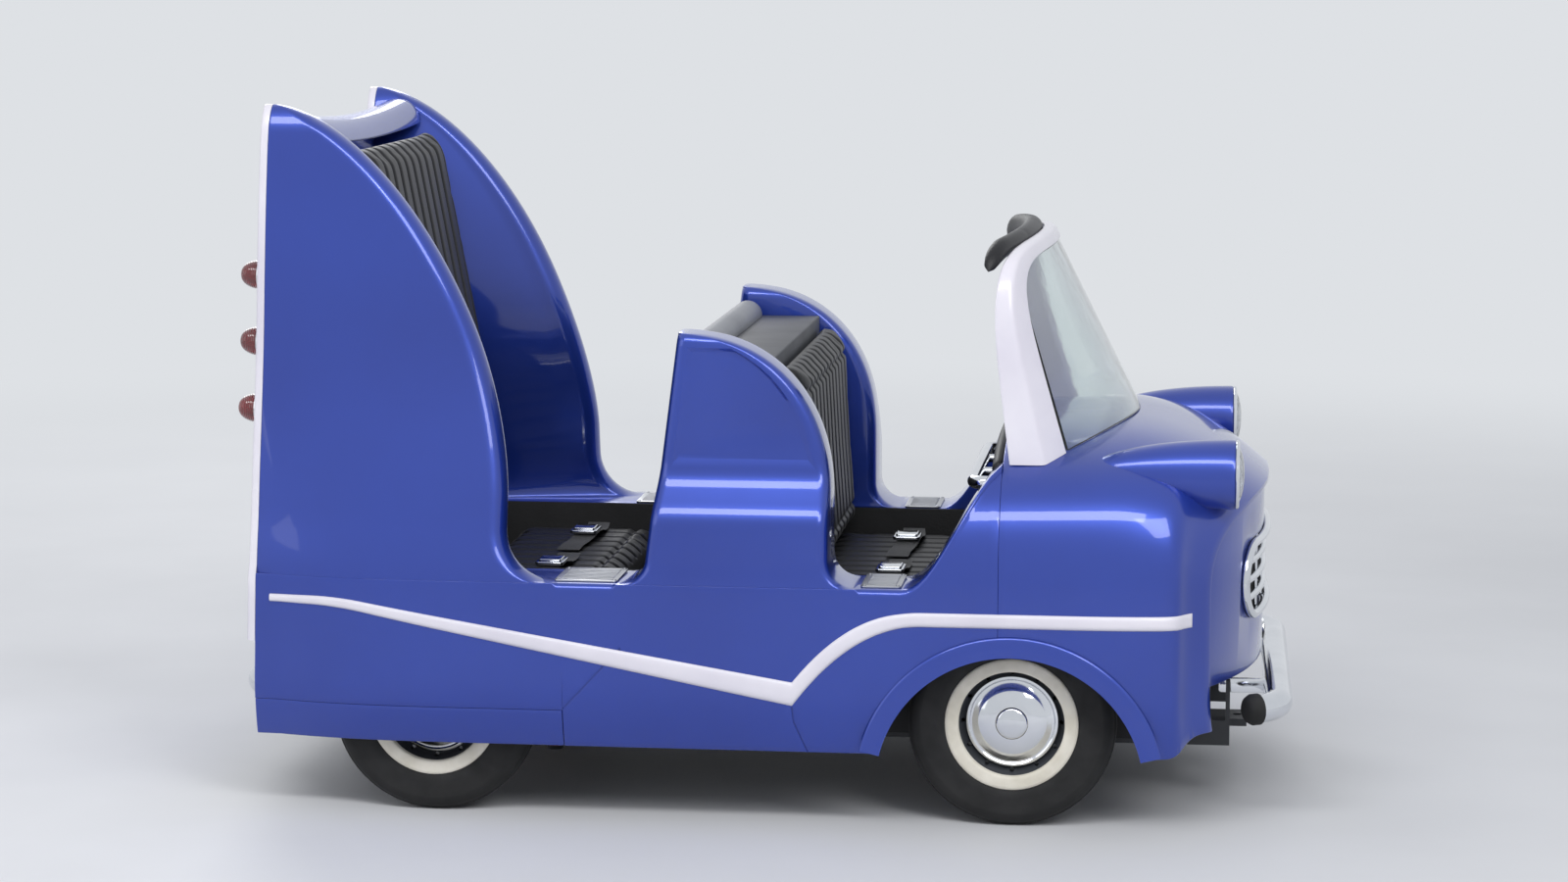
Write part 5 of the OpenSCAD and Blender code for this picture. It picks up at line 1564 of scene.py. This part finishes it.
class RIDECAR_OT_undercarriage(bpy.types.Operator):
    """Finishes of the chassis, axles, guide trucks and rollers, and their fasteners"""

    bl_idname = "ride_car.undercarriage"
    bl_label = "Undercarriage"

    def execute(self, context):
        looks = dict.fromkeys(("chassis", "axles", "truck_front", "truck_rear"), "satin chassis paint")
        looks.update({f"roller_{key}": "cast urethane" for key in ("fr", "fl", "rr", "rl")})
        for name, look in looks.items():
            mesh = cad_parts[name].data
            mesh.materials.clear()
            mesh.materials.append(FINISHES[look])
        nut_line = [(0, 0), (11, 0), (11, 7), (9.6, 8.5), (0, 8.5)]
        for end, x in TRUCK_X.items():
            for side, s in SIDES:
                nut = turned(f"roller_nut_{end}_{side}", nut_line, (x, s * 59, 90), (0, 0, 1), 6)
                dress(nut, ("chrome plate", "chassis_paint"), body=f"truck_{end}")
        return {"FINISHED"}


ORDER = ("flanks", "fins", "pods", "tail", "front", "headlamps", "trim", "windscreen", "dash", "cabin",
         "divider", "benches", "belts", "bumpers", "wheels", "undercarriage", "stage")


class RIDECAR_PT_panel(bpy.types.Panel):
    """Lists the car's sizes, colours and pieces"""

    bl_label = "Ride Car"
    bl_idname = "RIDECAR_PT_panel"
    bl_space_type = "VIEW_3D"
    bl_region_type = "UI"
    bl_category = "Ride Car"

    def draw(self, context):
        for group in (context.scene.ride_car_sizes, context.scene.ride_car_colours):
            for key in group.__annotations__:
                self.layout.prop(group, key)
        for name in ORDER:
            self.layout.operator("ride_car." + name)


CLASSES = (
    CarSizes, CarColours, RIDECAR_OT_stage, RIDECAR_OT_flanks, RIDECAR_OT_fins, RIDECAR_OT_pods,
    RIDECAR_OT_tail, RIDECAR_OT_front, RIDECAR_OT_headlamps, RIDECAR_OT_trim, RIDECAR_OT_windscreen,
    RIDECAR_OT_dash, RIDECAR_OT_cabin, RIDECAR_OT_divider, RIDECAR_OT_benches, RIDECAR_OT_belts,
    RIDECAR_OT_bumpers, RIDECAR_OT_wheels, RIDECAR_OT_undercarriage, RIDECAR_PT_panel,
)


def register():
    for cls in CLASSES:
        bpy.utils.register_class(cls)
    bpy.types.Scene.ride_car_sizes = bpy.props.PointerProperty(type=CarSizes)
    bpy.types.Scene.ride_car_colours = bpy.props.PointerProperty(type=CarColours)


def unregister():
    del bpy.types.Scene.ride_car_colours
    del bpy.types.Scene.ride_car_sizes
    for cls in reversed(CLASSES):
        bpy.utils.unregister_class(cls)


def main():
    register()
    make_finishes(bpy.context.scene.ride_car_colours)
    for name in ORDER:
        getattr(bpy.ops.ride_car, name)()


if __name__ == "__main__":
    main()
